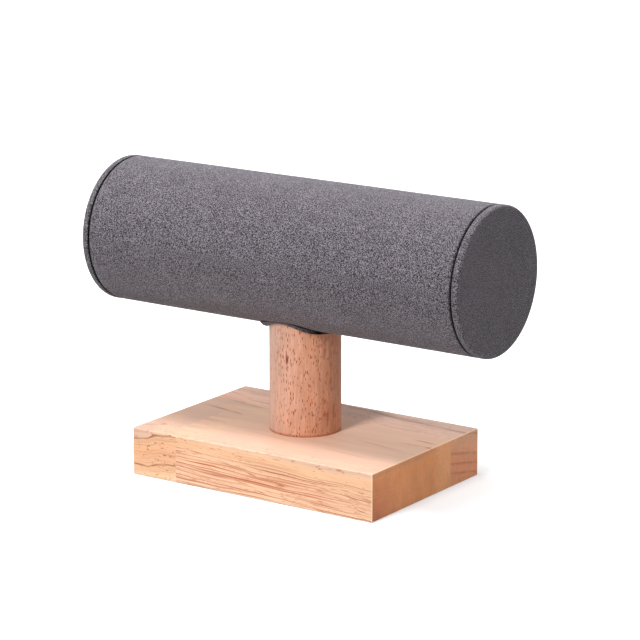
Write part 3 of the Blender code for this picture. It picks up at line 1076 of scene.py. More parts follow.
BACK_WOOD = Rubberwood(
    slot=Slot.BACK_STAVE,
    tones=((4.0, "#fbc09c"), (13.0, "#f8b799"), (19.0, "#f8c5aa"), (24.0, "#e8c5b3")),
    streaks=(Streak(9.3, 1.5, 0.6), Streak(12.7, 1.4, 0.6), Streak(16.2, 1.6, 0.6), Streak(23.2, 0.7, 0.8)),
    grain_bands=((3.0, 0.4), (12.0, 0.5), (20.0, 0.35), (22.0, 0.3)),
    streak_colour="#8d4a33",
    end_colour="#fde6cf",
    across=(0.0258, 0.2, 1.0),
    wave=0.25,
    span=26.0,
    end_lines=0.9,
    sapwood=(60.0, 61.0),
    seed=0.81,
)


@dataclass
class Base:
    """The base board: two finger-jointed front staves and a back stave, with the post's socket.

    Attributes:
        edge: Radius of the board's eased edges.
        holding: Width of the narrow strip beside them that keeps the flat sides flat to the light.
        seam: Width of a glued joint.
        finger_halves: Flanks of the finger joint between the front face and the back joint.
        finger_tip: How far a flank leans over its length.
        tip_row: How far off the innermost tip on X a tip still counts as in its row.
        socket_play: Room round the post in its socket.
        screw_clearance: Radius of the screw's hole.
        screw_mouth: Radius of its countersink at the underside.
        mouth_depth: Height up to which the countersink is straight.
        countersink: Height at which it ends.
        edge_steps: Chords of an eased edge.
        hole_steps: Chords round the hole.
        low: The board's lowest corner.
        high: Its highest corner.
        back_joint: Place of the back joint on Y.
        finger_middle: Place of the finger joint on X.
        finger_length: Length of a finger.
        socket_radius: Radius of the post's socket.
        socket_floor: Height of its floor.
    """

    edge: float = 0.5
    holding: float = 0.05
    seam: float = 0.07
    finger_halves: int = 18
    finger_tip: float = 0.7
    tip_row: float = 0.5
    socket_play: float = 0.05
    screw_clearance: float = 2.1
    screw_mouth: float = 4.3
    mouth_depth: float = 0.4
    countersink: float = 2.7
    edge_steps: int = 6
    hole_steps: int = 96
    low: np.ndarray = field(init=False)
    high: np.ndarray = field(init=False)
    back_joint: float = field(init=False)
    finger_middle: float = field(init=False)
    finger_length: float = field(init=False)
    socket_radius: float = field(init=False)
    socket_floor: float = field(init=False)

    def __post_init__(self) -> None:
        """Reads the board's box, its joints and the post's foot from the frame."""
        long_low, long_high = span("front_long_stave")
        _, short_high = span("front_short_stave")
        back_low, back_high = span("back_stave")
        post_low, post_high = span("post")
        glue = back_low[1] - long_high[1]
        self.low = np.array([back_low[0], long_low[1], back_low[2]])
        self.high = back_high
        self.back_joint = (back_low[1] + long_high[1]) / 2
        self.finger_middle = (long_low[0] + short_high[0]) / 2
        self.finger_length = short_high[0] - long_low[0] + glue
        self.socket_radius = post_high[0] + self.socket_play
        self.socket_floor = post_low[2] - glue

    def finger_line(self, side: int) -> np.ndarray:
        """Zigzag of the finger joint, from the front face to the back joint.

        Flank k lies at the front plus k half pitches, and the line passes it from one tip to the
        other. The two end flanks are cut half way.

        Args:
            side: 1 for the long stave's side of the joint and -1 for the short one's.

        Returns:
            The line's (x, y) points.
        """
        front = self.low[1]
        pitch = (self.back_joint - front) / self.finger_halves
        flank = np.arange(self.finger_halves + 1)
        turn = np.where(flank % 2 == 0, 1.0, -1.0)
        across = np.stack([-turn, turn], axis=1) * self.finger_length / 2
        along = front + flank[:, None] * pitch + np.array([-1.0, 1.0]) * self.finger_tip / 2
        line = np.stack([self.finger_middle + across, along], axis=-1).reshape(-1, 2)[1:-1]
        ends = [[self.finger_middle, front], [self.finger_middle, self.back_joint - self.seam / 2]]
        line = np.vstack([ends[:1], line, ends[1:]])
        return line + np.array([side * self.seam / 2, 0.0])

    def held_in(self, outline: np.ndarray, inset: float) -> np.ndarray:
        """Draws an outline in to the board's eased form at one level.

        The board's core is its rectangle less the edge radius. A point further from the core than
        the radius less the inset is brought back to that distance, straight towards the core.

        Args:
            outline: (x, y) points.
            inset: How far the eased edge has come in at this level.

        Returns:
            The outline at this level.
        """
        core = np.clip(outline, self.low[:2] + self.edge, self.high[:2] - self.edge)
        out = outline - core
        distance = np.maximum(np.linalg.norm(out, axis=1), TINY)
        return core + out * np.minimum(1.0, (self.edge - inset) / distance)[:, None]

    def walls(self, skin: Skin, outline: np.ndarray) -> np.ndarray:
        """Adds a stave's upright sides, eased at the board's top and bottom edges.

        Args:
            skin: The stave's surface.
            outline: Its (x, y) outline, counter-clockwise.

        Returns:
            The point numbers by level, from the underside up, and by outline point.
        """
        angle = np.radians(np.linspace(0.0, 90.0, self.edge_steps + 1))
        inset = np.append(self.edge * (1.0 - np.sin(angle)), 0.0)
        rise = np.append(self.edge * (1.0 - np.cos(angle)), self.edge + self.holding)
        levels = np.concatenate([self.low[2] + rise, (self.high[2] - rise)[::-1]])
        insets = np.concatenate([inset, inset[::-1]])
        rings = [
            np.column_stack([self.held_in(outline, amount), np.full(len(outline), level)])
            for level, amount in zip(levels, insets)
        ]
        return skin.add_grid(np.stack(rings), wrap=True)

    def corner(self, x_side: int, y_side: int) -> np.ndarray:
        """Arc of one upright corner of the board, counter-clockwise seen from above.

        A point a little way along the straight on each side keeps the sides' shading flat.

        Args:
            x_side: 1 for the right end and -1 for the left.
            y_side: 1 for the back and -1 for the front.

        Returns:
            The corner's (x, y) points.
        """
        centre = np.where([x_side > 0, y_side > 0], self.high[:2] - self.edge, self.low[:2] + self.edge)
        start = {(-1, -1): 180.0, (1, -1): 270.0, (1, 1): 0.0, (-1, 1): 90.0}[x_side, y_side]
        bend = arc(tuple(centre), self.edge, start, start + 90.0, self.edge_steps)
        turn = np.radians([start, start + 90.0])
        before, after = self.holding * np.stack([-np.sin(turn), np.cos(turn)], axis=1)
        return np.vstack([bend[0] - before, bend, bend[-1] + after])

    def plain_stave(self, name: str, outline: np.ndarray, material: Material) -> bpy.types.Object:
        """Builds a stave without holes.

        Args:
            name: The piece's name.
            outline: Its outline, counter-clockwise.
            material: Its finish.

        Returns:
            The stave.
        """
        skin = Skin()
        numbers = self.walls(skin, outline)
        skin.add_flat(numbers[0, ::-1])
        skin.add_flat(numbers[-1])
        return skin.build(name, material)

    def hole_profile(self) -> np.ndarray:
        """Section of the socket and the screw's hole.

        Returns:
            The section's (radius, height) points, from the top down.
        """
        return np.array(
            [
                [self.socket_radius, self.high[2]],
                [self.socket_radius, self.socket_floor],
                [self.screw_clearance, self.socket_floor],
                [self.screw_clearance, self.countersink],
                [self.screw_mouth, self.mouth_depth],
                [self.screw_mouth, self.low[2]],
            ]
        )

    def long_stave(self, name: str, outline: np.ndarray, material: Material) -> bpy.types.Object:
        """Builds the stave that holds the post: a socket above and the screw's countersunk hole below.

        The hole is its section turned about the post's axis. Above and below, the face between the
        hole and the outline is two flat halves, cut along a line through the hole.

        Args:
            name: The piece's name.
            outline: Its outline, counter-clockwise, with a point on each side at the height of the axis.
            material: Its finish.

        Returns:
            The stave.
        """
        skin = Skin()
        rim = self.walls(skin, outline)
        profile = self.hole_profile()
        angle = round_angles(self.hole_steps)
        turned = profile[:, :1] * np.stack([np.cos(angle), np.sin(angle)])[:, None]
        heights = np.broadcast_to(profile[:, 1:], turned.shape[1:])
        hole = skin.add_grid(np.stack([turned[0], turned[1], heights], axis=-1), wrap=True)
        off_axis = np.abs(outline[:, 1])
        inner_tips = np.isclose(outline[:, 0], outline[outline[:, 0] < 0, 0].max(), atol=self.tip_row)
        right = int(np.argmin(off_axis + np.where(outline[:, 0] > 0, 0.0, np.inf)))
        left = int(np.argmin(off_axis + np.where(inner_tips, 0.0, np.inf)))
        half = self.hole_steps // 2
        for edge, ring in ((rim[-1], hole[0]), (rim[0], hole[-1])):
            unrolled = np.roll(edge, -right)
            turn = (left - right) % len(edge)
            skin.add_flat(np.concatenate([unrolled[: turn + 1], ring[: half + 1][::-1]]))
            skin.add_flat(np.concatenate([unrolled[turn:], edge[[right]], ring[:1], ring[half:][::-1]]))
        return skin.build(name, material)

    def build(self) -> None:
        """Builds and dresses the three staves and the screw."""
        before, behind = self.back_joint - self.seam / 2, self.back_joint + self.seam / 2
        left, right = self.low[0], self.high[0]
        long_line = self.finger_line(1)[::-1]
        long_outline = np.vstack([self.corner(1, -1), [[right, 0.0], [right, before]], long_line])
        short_outline = np.vstack([self.corner(-1, -1), self.finger_line(-1), [[left, before]]])
        back_outline = np.vstack([[[left, behind], [right, behind]], self.corner(1, 1), self.corner(-1, 1)])
        front = self.low[1]
        for make, name, outline, wood, node in (
            (self.long_stave, "long_stave", long_outline, LONG_WOOD, "front_long_stave"),
            (self.plain_stave, "short_stave", short_outline, SHORT_WOOD, "front_short_stave"),
            (self.plain_stave, "rear_stave", back_outline, BACK_WOOD, "back_stave"),
        ):
            settle(make(name, outline, wood.material(front)), wood.slot, node)
        dress("base_screw", ZincPlate().material())


@dataclass
class Post:
    """The beech dowel between base and roller, coped at the top to the tube's bore.

    Attributes:
        chamfer: The foot's chamfer.
        hole_radius: Radius of the screw's pilot hole.
        hole_top: Height of the hole's blind end.
        hole_point: Length of its pointed end.
        segments: Facets round the post.
        rings: Rings of facets on the cope.
        radius: The post's radius.
        foot: Height of its foot.
        axis_height: Height of the roller's axis.
        cope_radius: Radius of the cope about that axis.
    """

    chamfer: float = 0.6
    hole_radius: float = 2.1
    hole_top: float = 35.7
    hole_point: float = 4.0
    segments: int = 128
    rings: int = 10
    radius: float = field(init=False)
    foot: float = field(init=False)
    axis_height: float = field(init=False)
    cope_radius: float = field(init=False)

    def __post_init__(self) -> None:
        """Reads the post's box and the roller's axis from the frame."""
        low, high = span("post")
        self.radius = high[0]
        self.foot = low[2]
        self.axis_height = roller_axis()
        self.cope_radius = high[2] - self.axis_height

    def build(self) -> None:
        """Builds and dresses the post.

        Rows run from the hole's blind end down it, out over the foot, up the side and in over the
        cope, whose height is the axis plus the root of the cope radius squared less y squared.
        """
        angle = round_angles(self.segments)
        low_profile = np.array(
            [
                [0.0, self.hole_top],
                [self.hole_radius, self.hole_top - self.hole_point],
                [self.hole_radius, self.foot],
                [self.radius - self.chamfer, self.foot],
                [self.radius, self.foot + self.chamfer],
            ]
        )
        shares = np.linspace(1.0, 0.0, self.rings + 1)
        radii = np.concatenate([low_profile[:, 0], self.radius * shares])[:, None]
        x = radii * np.cos(angle)
        y = radii * np.sin(angle)
        heights = self.axis_height + np.sqrt(self.cope_radius**2 - y**2)
        heights[: len(low_profile)] = low_profile[:, 1:]
        skin = Skin()
        skin.add_grid(np.stack([x, y, heights], axis=-1), wrap=True)
        settle(skin.build("beech_post", Beech().material(self.radius)), Slot.POST, "post")


@dataclass
class Roller:
    """The suede wrap of the roller, with its seam beneath and its lip round the post.

    A point of the wrap has a place x along the roller and an angle round it, from the seam
    beneath, towards the front: y = -r sin(angle) and z = axis - r cos(angle). A section of the lip
    is given as (distance from the post's axis, share of the drop, rise), and a stretch of it as its
    middle and half width round the post, in degrees.

    Attributes:
        suede: Thickness of the suede.
        rim: Radius where the wrap turns over the tube's ends.
        fold: Radius where it turns into the bore.
        hem: Length of the hem inside the bore.
        plug_gap: Room between the hem's outer face and the cap's plug.
        groove: Width of the painted shade in the groove beside the caps.
        slit: Gap between the two edges at the seam.
        seam_dip: How far the edges draw in at the seam.
        seam_spread: Over what distance they do so.
        waves: Length over a radian, turns round the roller and shift of each wave of unevenness.
        unevenness: Height of those waves.
        lip_edge: Distance of the lip's cut edge from the post's axis.
        lip_zone: Distance within which the wrap's grid runs round the post.
        lip_low: How far the lip's edge is let down where no flap is.
        flaps: Where the lip hangs lower: angle round the post, spread in degrees and drop.
        plain_section: Smooth lip.
        folded_section: Lip that turns up behind the roller's edge first.
        ledge_section: Lip that drops at once and runs level to its edge.
        folded: Stretch with the folded section.
        ledge: Stretch with the ledge.
        creased: Stretch over which the crease's painted shade shows.
        underfold: Stretch under the fold that gets painted shade.
        underfold_start: Share of the section at which that painted shade begins.
        underfold_gain: How steeply it begins.
        crease_gain: How steeply the crease begins and ends.
        crease: Share of the section at which the crease lies.
        ledge_shift: How much sooner it lies on the ledge.
        crease_width: Its half width, as a share of the section.
        fold_width: How much wider it is in the fold.
        crease_depth: How dark the painted shade in the crease is away from the fold, from 0 to 1.
        turns: Facets round the roller.
        straight_rows: Rows of facets from the lip's zone to the end.
        rim_steps: Chords of the arc over the tube's end.
        fold_steps: Chords of the arc into the bore.
        hem_rows: Rows of points along the hem.
        zone_steps: Rows of facets over the post.
        lip_steps: Facets along the lip's section.
        zone_columns: Facets from the lip to the edge of its zone.
        axis_height: Height of the roller's axis.
        radius: Radius of the wrap.
        end: Place of its right end on X.
        hem_radius: Radius of the hem.
    """

    suede: float = 0.5
    rim: float = 0.9
    fold: float = 0.6
    hem: float = 8.0
    plug_gap: float = 0.3
    groove: float = 0.85
    slit: float = 0.16
    seam_dip: float = 0.22
    seam_spread: float = 0.7
    waves: tuple[Triple, ...] = ((9.0, 2, 0.0), (5.3, -3, 1.0), (14.0, 5, 2.0))
    unevenness: float = 0.035
    lip_edge: float = 13.0
    lip_zone: float = 19.0
    lip_low: float = 0.3
    flaps: tuple[Triple, ...] = ((214.0, 31.0, 0.95), (308.0, 27.0, 1.2), (95.0, 40.0, 0.5))
    plain_section: tuple[Triple, ...] = (
        (15.9, 0.0, 0.0),
        (15.0, 0.04, 0.0),
        (14.4, 0.1, 0.0),
        (14.0, 0.16, 0.0),
        (13.7, 0.23, 0.0),
        (13.4, 0.34, 0.0),
        (13.15, 0.6, 0.0),
        (13.0, 1.0, 0.0),
    )
    folded_section: tuple[Triple, ...] = (
        (15.9, 0.0, 0.0),
        (15.0, 0.0, 0.0),
        (14.55, 0.02, 0.0),
        (14.25, 0.0, 0.12),
        (13.75, 0.0, 0.28),
        (13.3, 0.12, 0.1),
        (13.1, 0.55, 0.0),
        (13.15, 1.0, 0.0),
    )
    ledge_section: tuple[Triple, ...] = (
        (15.9, 0.0, 0.0),
        (15.6, 0.1, 0.0),
        (15.25, 0.4, 0.0),
        (14.9, 0.72, 0.0),
        (14.5, 0.88, 0.0),
        (14.1, 0.95, 0.0),
        (13.5, 1.0, 0.0),
        (13.0, 1.0, 0.0),
    )
    folded: tuple[float, float] = (313.0, 36.0)
    ledge: tuple[float, float] = (214.0, 34.0)
    creased: tuple[float, float] = (270.0, 70.0)
    underfold: tuple[float, float] = (326.0, 14.0)
    underfold_start: float = 0.5
    underfold_gain: float = 5.0
    crease_gain: float = 1.5
    crease: float = 0.58
    ledge_shift: float = 0.36
    crease_width: float = 0.16
    fold_width: float = 0.12
    crease_depth: float = 0.75
    turns: int = 176
    straight_rows: int = 53
    rim_steps: int = 6
    fold_steps: int = 5
    hem_rows: int = 6
    zone_steps: int = 90
    lip_steps: int = 28
    zone_columns: int = 12
    axis_height: float = field(init=False)
    radius: float = field(init=False)
    end: float = field(init=False)
    hem_radius: float = field(init=False)

    def __post_init__(self) -> None:
        """Reads the roller's axis, radius and length from the frame."""
        _, high = span("sleeve_cover")
        _, plug_high = span("right_cap_plug")
        self.axis_height = roller_axis()
        self.radius = high[2] - self.axis_height
        self.end = high[0]
        self.hem_radius = plug_high[2] - self.axis_height + self.plug_gap

    def end_profile(self) -> np.ndarray:
        """Section of the wrap's outer face at the right end, as (x, radius) points.

        It turns over the tube's end on an arc, runs down the end face, turns into the bore on a
        second arc and ends with the hem.

        Returns:
            The points after the straight stretch.
        """
        over = arc((self.end - self.rim, self.radius - self.rim), self.rim, 90.0, 0.0, self.rim_steps)
        fold_centre = (self.end - self.fold, self.hem_radius + self.fold)
        into = arc(fold_centre, self.fold, 0.0, -90.0, self.fold_steps)
        hem_x = np.linspace(self.end - self.fold, self.end - self.hem, self.hem_rows + 1)[1:]
        hem = np.column_stack([hem_x, np.full(len(hem_x), self.hem_radius)])
        return np.vstack([over, into, hem])

    def drop(self, angle: np.ndarray) -> np.ndarray:
        """How far the lip's edge is let down: a low level plus a bell curve for each flap."""
        bells = (amount * bell(angle, middle, spread) for middle, spread, amount in self.flaps)
        return sum(bells, start=self.lip_low)

    def lip(self, angle: np.ndarray) -> tuple[np.ndarray, np.ndarray, np.ndarray]:
        """Section of the lip at each angle round the post, a blend of its plain, folded and ledge forms.

        Args:
            angle: Angles round the post, as a column.

        Returns:
            By angle and step: the distance from the post's axis, how far the point is let down,
            and how much painted crease shade it takes, from 0 to 1.
        """
        knots = np.linspace(0.0, 1.0, len(self.plain_section))
        steps = np.linspace(0.0, 1.0, self.lip_steps + 1)
        sections = (self.plain_section, self.folded_section, self.ledge_section)
        plain, folded, ledge = (
            np.stack([np.interp(steps, knots, column) for column in np.array(section).T])
            for section in sections
        )
        share = stretch_round(angle, self.folded)
        on_ledge = stretch_round(angle, self.ledge)
        distance, drop_share, rise = (
            a + share * (b - a) + on_ledge * (1.0 - share) * (c - a) for a, b, c in zip(plain, folded, ledge)
        )
        # Painted shade: how dark the crease and the underside of the fold are drawn
        shown = self.crease_depth * stretch_round(angle, self.creased, gain=2.0, floor=0.15)
        off_crease = np.abs(steps - self.crease + self.ledge_shift * on_ledge)
        from_crease = off_crease / (self.crease_width + self.fold_width * share)
        inside = np.maximum(shown, share) * smooth_step(self.crease_gain * (1.0 - from_crease))
        beneath = smooth_step(self.underfold_gain * (steps - self.underfold_start))
        inside = np.maximum(inside, bell(angle, *self.underfold) * beneath)
        return distance, self.drop(angle) * drop_share - rise, inside

    def angles_round(self, x: np.ndarray) -> np.ndarray:
        """Angles of the grid's columns, evenly from one side of the seam, or of the lip's zone, to the other.

        Args:
            x: Places along the roller, the same over each row.

        Returns:
            An angle for each point.
        """
        beside_zone = np.sqrt(np.maximum(self.lip_zone**2 - x**2, 0.0))
        start = np.arcsin(np.maximum(beside_zone, self.slit / 2) / self.radius)
        return start + (2 * np.pi - 2 * start) * np.linspace(0.0, 1.0, self.turns + 1)

    def surface(self, x: np.ndarray, angle: np.ndarray, radius: np.ndarray, drop: np.ndarray) -> np.ndarray:
        """Points of the wrap.

        The radius is uneven by a few hundredths, as three crossing waves, and draws in at the seam
        by a bell curve over the distance from it.

        Args:
            x: Places along the roller.
            angle: Angles round it.
            radius: Distances from its axis.
            drop: How far each point is let down from there.

        Returns:
            The points.
        """
        from_seam = np.minimum(angle, 2 * np.pi - angle) * self.radius
        dip = self.seam_dip * np.exp(-((from_seam / self.seam_spread) ** 2))
        waves = sum(np.sin(x / length + turns * angle + shift) for length, turns, shift in self.waves)
        r = radius - dip + self.unevenness * (waves / len(self.waves) - 1.0)
        return np.stack([x, -r * np.sin(angle), self.axis_height - r * np.cos(angle) - drop], axis=-1)

    def fold_shade(self, profile: np.ndarray) -> np.ndarray:
        """How much painted shade each row of the outer part takes: it eases to 1 in the groove where the cap
        meets the wrap.
        """
        from_end = self.end - np.abs(profile[:, :1])
        return smooth_step(1.0 - from_end / self.groove) + np.zeros(self.turns + 1)

    def outer_part(self, profile: np.ndarray) -> np.ndarray:
        """Grid of the wrap beyond the post: rows along the roller, columns from seam to seam.

        Args:
            profile: (x, radius) points along the roller.

        Returns:
            The points.
        """
        x = profile[:, :1] + np.zeros(self.turns + 1)
        radius = profile[:, 1:] + np.zeros(self.turns + 1)
        return self.surface(x, self.angles_round(x), radius, np.zeros_like(x))

    def post_part(self) -> tuple[np.ndarray, np.ndarray]:
        """Grid of the wrap over the post: each row starts and ends on the lip's cut edge.

        Near the post the grid is polar: a distance and an angle round the post.

        Returns:
            The points, rows along the roller, and how much painted crease shade each one takes.
        """
        turn = np.linspace(np.pi, 0.0, self.zone_steps + 1)[:, None]
        out = np.linspace(0.0, 1.0, self.zone_columns + 1)[1:]
        halves = []
        for round_post in (2 * np.pi - turn, turn):
            distance, drop, inside = self.lip(round_post)
            beyond = distance[:, :1] + (self.lip_zone - distance[:, :1]) * out
            distance = np.hstack([distance[:, ::-1], beyond])
            drop = np.hstack([drop[:, ::-1], np.zeros_like(beyond)])
            inside = np.hstack([inside[:, ::-1], np.zeros_like(beyond)])
            sideways = np.maximum(distance * np.sin(turn), self.slit / 2)
            halves.append((distance * np.cos(turn), np.arcsin(sideways / self.radius), drop, inside))
        (front_x, front_angle, front_drop, front_in), (back_x, back_angle, back_drop, back_in) = halves
        middle_x = self.lip_zone * np.cos(turn) + np.zeros(self.turns + 1)
        middle_angle = self.angles_round(middle_x)
        flat = np.zeros_like(middle_x[:, 1:-1])
        x = np.hstack([front_x, middle_x[:, 1:-1], back_x[:, ::-1]])
        angle = np.hstack([front_angle, middle_angle[:, 1:-1], 2 * np.pi - back_angle[:, ::-1]])
        drop = np.hstack([front_drop, flat, back_drop[:, ::-1]])
        inside = np.hstack([front_in, flat, back_in[:, ::-1]])
        return self.surface(x, angle, np.full_like(x, self.radius), drop), inside

    def build(self, suede: Material) -> None:
        """Builds the wrap and dresses it and the tube under it.

        Args:
            suede: The wrap's material.
        """
        end = self.end_profile()
        straight_x = np.linspace(self.lip_zone, end[0, 0], self.straight_rows + 1)[:-1]
        straight = np.column_stack([straight_x, np.full(len(straight_x), self.radius)])
        right = np.vstack([straight, end])
        left = (right * np.array([-1.0, 1.0]))[::-1]
        over_post, inside = self.post_part()
        skin = Skin()
        # The marks are painted shade: in the grooves beside the caps and in the crease round the post
        skin.add_grid(self.outer_part(left), mark=self.fold_shade(left))
        skin.add_grid(over_post, mark=inside)
        skin.add_grid(self.outer_part(right), mark=self.fold_shade(right))
        wrap = skin.build("suede_wrap", suede, closed=False)
        thicken(wrap, self.suede)
        settle(wrap, Slot.SUEDE, "sleeve_cover")
        dress("core_tube", PaperBoard(Slot.TUBE, "#a3978a", "#857a6d").material())


@dataclass
class EndCap:
    """A suede-covered disc that closes one end of the roller.

    Attributes:
        side: The end it closes.
        suede: Thickness of the suede.
        rim: Radius of the disc's rounded rim.
        fold: Radius where the suede turns on to the disc's back.
        groove: Height above the back over which the painted shade of the groove fades out.
        hem_inner: Radius of the hole that the hem leaves at the back.
        unevenness: Height of the face's waves.
        waves: Lengths on Y and Z over a radian, of the short waves and of the long ones.
        segments: Facets round the cap.
        face_rings: Rings of facets on the face.
        rim_steps: Chords of the arc over the rim.
        fold_steps: Chords of the arc on to the back.
        hem_rings: Rings of points on the hem.
        axis_height: Height of the roller's axis.
        radius: The cap's radius.
        face: Distance of its face from the roller's middle.
        back: Distance of its back from there.
    """

    side: Side
    suede: float = 0.5
    rim: float = 0.9
    fold: float = 0.55
    groove: float = 0.3
    hem_inner: float = 17.0
    unevenness: float = 0.03
    waves: tuple[tuple[float, float], ...] = ((6.0, 7.0), (11.0, 9.0))
    segments: int = 160
    face_rings: int = 22
    rim_steps: int = 7
    fold_steps: int = 5
    hem_rings: int = 7
    axis_height: float = field(init=False)
    radius: float = field(init=False)
    face: float = field(init=False)
    back: float = field(init=False)

    @property
    def word(self) -> str:
        """The side's name as the nodes have it."""
        return self.side.name.lower()

    def __post_init__(self) -> None:
        """Reads the cap's box from the frame."""
        low, high = span(f"{self.word}_cap_cover")
        self.back, self.face = sorted([abs(low[0]), abs(high[0])])
        self.axis_height = roller_axis()
        self.radius = high[2] - self.axis_height

    def profile(self) -> np.ndarray:
        """Section of the suede's outer face, as (distance along the roller, radius) points.

        It runs from the face's middle out to the rim, over it on an arc, along the disc's edge,
        over a second arc and in along the back.

        Returns:
            The points.
        """
        face_radii = np.linspace(0.0, self.radius - self.rim, self.face_rings + 1)[:-1]
        face = np.column_stack([np.full(len(face_radii), self.face), face_radii])
        over = arc((self.face - self.rim, self.radius - self.rim), self.rim, 0.0, 90.0, self.rim_steps)
        fold_centre = (self.back + self.fold, self.radius - self.fold)
        behind = arc(fold_centre, self.fold, 90.0, 180.0, self.fold_steps)
        hem_radii = np.linspace(self.radius - self.fold, self.hem_inner, self.hem_rings + 1)[1:]
        hem = np.column_stack([np.full(len(hem_radii), self.back), hem_radii])
        return np.vstack([face, over, behind, hem])

    def build(self, suede: Material, board: Material) -> None:
        """Builds and dresses the cap.

        Each point of the section is turned about the roller's axis, and the face is uneven by a
        few hundredths, as crossing waves of 4 to 7 cm.

        Args:
            suede: The cover's material.
            board: The disc's and plug's material.
        """
        section = self.profile()
        angle = round_angles(self.segments)
        radius = section[:, 1:] + np.zeros(self.segments)
        y = radius * np.cos(angle)
        z = radius * np.sin(angle)
        (short_y, short_z), (long_y, long_z) = self.waves
        waves = np.sin(y / short_y + 1.0) * np.sin(z / short_z) + np.sin(y / long_y - z / long_z)
        along = section[:, :1] - self.unevenness * (1.0 + waves / 2)
        grid = np.stack([self.side.value * along, y, self.axis_height + z], axis=-1)
        if self.side is Side.LEFT:
            grid = grid[:, ::-1]
        # Painted shade in the groove where the cap's back meets the wrap
        below_shade_end = self.back + self.groove - section[:, :1]
        fold_shade = smooth_step(below_shade_end / self.groove) + np.zeros(self.segments)
        skin = Skin()
        skin.add_grid(grid, wrap=True, mark=fold_shade)
        cover = skin.build(f"{self.word}_cap_suede", suede, closed=False)
        thicken(cover, self.suede)
        settle(cover, Slot.SUEDE, f"{self.word}_cap_cover")
        disc = f"{self.word}_cap_board"
        dress(disc, board)
        dress(f"{self.word}_cap_plug", board)


def direction(azimuth: float, elevation: float) -> Vector:
    """Unit vector from the object towards a place round it, both angles in degrees."""
    a, e = math.radians(azimuth), math.radians(elevation)
    return Vector((math.sin(a) * math.cos(e), -math.cos(a) * math.cos(e), math.sin(e)))


def face_back(piece: bpy.types.Object, place: Vector, away: Vector) -> None:
    """Stands a lamp or camera at a place and turns it to look back against a direction.

    Args:
        piece: The lamp or camera.
        place: Where it stands, in metres.
        away: Unit vector from what it faces towards it.
    """
    piece.location = place
    piece.rotation_mode = "QUATERNION"
    piece.rotation_quaternion = (-away).to_track_quat("-Z", "Y")


@dataclass
class Lamp:
    """A soft rectangular lamp that faces the object.

    Attributes:
        name: The lamp's name.
        azimuth: Where it stands round the object, in degrees: 0 is in front and 90 on the right.
        elevation: How high it stands, in degrees.
        distance: How far it stands from the object's middle, in millimetres.
        width: Its width in millimetres.
        height: Its height in millimetres.
        level: Light on a surface that faces it, where 1 shows a colour as it is written.
    """

    name: str
    azimuth: float
    elevation: float
    distance: float
    width: float
    height: float
    level: float

    def build(self, target: Vector) -> None:
        """Places the lamp.

        Args:
            target: The point that it faces, in metres.
        """
        light = bpy.data.lights.new(self.name, "AREA")
        light.shape = "RECTANGLE"
        light.size = self.width * MM
        light.size_y = self.height * MM
        light.energy = self.level * (math.pi * self.distance * MM) ** 2
        away = direction(self.azimuth, self.elevation)
        face_back(place_object(self.name, light), target + away * self.distance * MM, away)


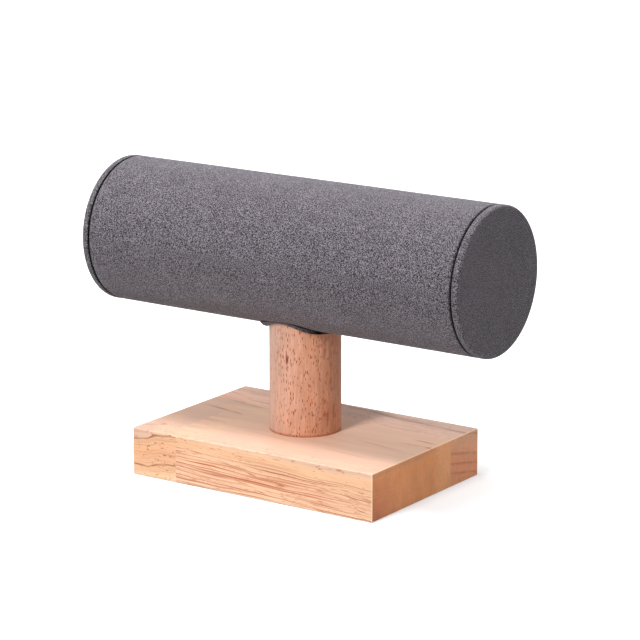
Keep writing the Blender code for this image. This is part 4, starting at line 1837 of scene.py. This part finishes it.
@dataclass
class Studio:
    """White table-top studio: floor, surrounding light and soft lamps.

    Attributes:
        lamps: The lamps.
        target_height: Height of the point that they face, in millimetres.
        ambient: Level of the surrounding light.
        floor_size: Side of the floor in millimetres.
        floor_tone: Colour of the floor where it shows a shadow.
        shadow_reach: Distance from the object's middle up to which the floor is as lit.
        white_reach: Distance from which it is pure white.
        lift: Share of its white that the floor has of itself near the object.
    """

    lamps: tuple[Lamp, ...] = (
        Lamp("overhead", -10.0, 82.0, 900.0, 190.0, 190.0, 0.71),
        Lamp("front", -3.0, 38.0, 1000.0, 250.0, 250.0, 0.79),
        Lamp("left", -70.0, 50.0, 1000.0, 500.0, 500.0, 0.27),
        Lamp("right", 75.0, 20.0, 1000.0, 700.0, 700.0, 0.315),
        Lamp("back", 170.0, 60.0, 1000.0, 500.0, 500.0, 0.22),
    )
    target_height: float = 60.0
    ambient: float = 0.01
    floor_size: float = 6000.0
    floor_tone: str = "#bfbfbf"
    shadow_reach: float = 55.0
    white_reach: float = 98.0
    lift: float = 0.5

    def build(self) -> None:
        """Builds the floor, the world's light and the lamps."""
        self.build_floor()
        self.build_world()
        for lamp in self.lamps:
            lamp.build(Vector((0.0, 0.0, self.target_height * MM)))

    def build_floor(self) -> None:
        """Builds the floor: white paper that keeps the object's shadow and goes to pure white beyond it."""
        half = self.floor_size * MM / 2
        mesh = bpy.data.meshes.new("floor")
        corners = [(-half, -half, 0.0), (half, -half, 0.0), (half, half, 0.0), (-half, half, 0.0)]
        mesh.from_pydata(corners, [], [(0, 1, 2, 3)])
        floor = place_object("floor", mesh)
        material, add = new_finish("white_paper")
        here = add("TexCoord", out="Object")
        away = add("VectorMath", (here,), out="Value", operation="LENGTH")
        reach = (away, self.shadow_reach * MM, self.white_reach * MM, self.lift, 1.0)
        lift = add("MapRange", reach, interpolation_type="SMOOTHSTEP")
        seen = add("LightPath", out="Is Camera Ray")
        coat(
            material,
            Base_Color=linear(self.floor_tone),
            Roughness=1.0,
            Specular_IOR_Level=0.0,
            Emission_Color=grey(1.0),
            Emission_Strength=add("Math", (lift, seen), operation="MULTIPLY"),
        )
        mesh.materials.append(material)

    def build_world(self) -> None:
        """Builds the surrounding white: its light on the object, and pure white where it is seen."""
        world = bpy.data.worlds.new("white_surround")
        world.use_nodes = True
        bpy.context.scene.world = world
        add = partial(add_node, world.node_tree)
        rays = add("LightPath").node.outputs
        seen = rays["Is Camera Ray"]
        for kind in ("Is Glossy Ray", "Is Transmission Ray"):
            seen = add("Math", (seen, rays[kind]), operation="MAXIMUM")
        strength = add("MapRange", (seen, 0.0, 1.0, self.ambient, 1.0))
        feed(world.node_tree.nodes["Background"], {"Color": grey(1.0), "Strength": strength})


@dataclass
class Viewpoint:
    """The photograph's camera, as fitted to the object's outline, corners and grooves.

    Attributes:
        azimuth: Where it stands, in degrees: 0 is in front and 90 on the right.
        elevation: How far above the horizon, in degrees.
        distance: From the point that it aims at, in millimetres.
        aim: That point, in millimetres.
        focal_pixels: Focal length in pixels of the picture.
        picture: Side of the picture in pixels.
        sensor: Width of the sensor in millimetres.
        clip: Nearest and furthest distance that it sees, in metres.
    """

    azimuth: float = 34.44
    elevation: float = 13.98
    distance: float = 1043.0
    aim: Triple = (6.14, 0.0, 56.46)
    focal_pixels: float = 3032.0
    picture: float = 640.0
    sensor: float = 36.0
    clip: tuple[float, float] = (0.05, 20.0)

    def build(self) -> None:
        """Places the camera and makes it the scene's."""
        data = bpy.data.cameras.new("photograph")
        data.sensor_width = self.sensor
        data.lens = self.focal_pixels / self.picture * self.sensor
        data.clip_start, data.clip_end = self.clip
        camera = place_object("photograph", data)
        away = direction(self.azimuth, self.elevation)
        face_back(camera, (Vector(self.aim) + away * self.distance) * MM, away)
        bpy.context.scene.camera = camera


def main() -> None:
    """Builds the stand from the base up, then the studio and the camera."""
    logging.basicConfig(level=logging.INFO, format="%(name)s: %(message)s")
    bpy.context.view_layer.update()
    bpy.context.scene.view_settings.view_transform = "Standard"
    suede = Suede().material()
    board = PaperBoard(Slot.BOARD, "#ab9d8c", "#8e8171").material()
    Base().build()
    Post().build()
    Roller().build(suede)
    for side in Side:
        EndCap(side).build(suede, board)
    Studio().build()
    Viewpoint().build()


if __name__ == "__main__":
    main()
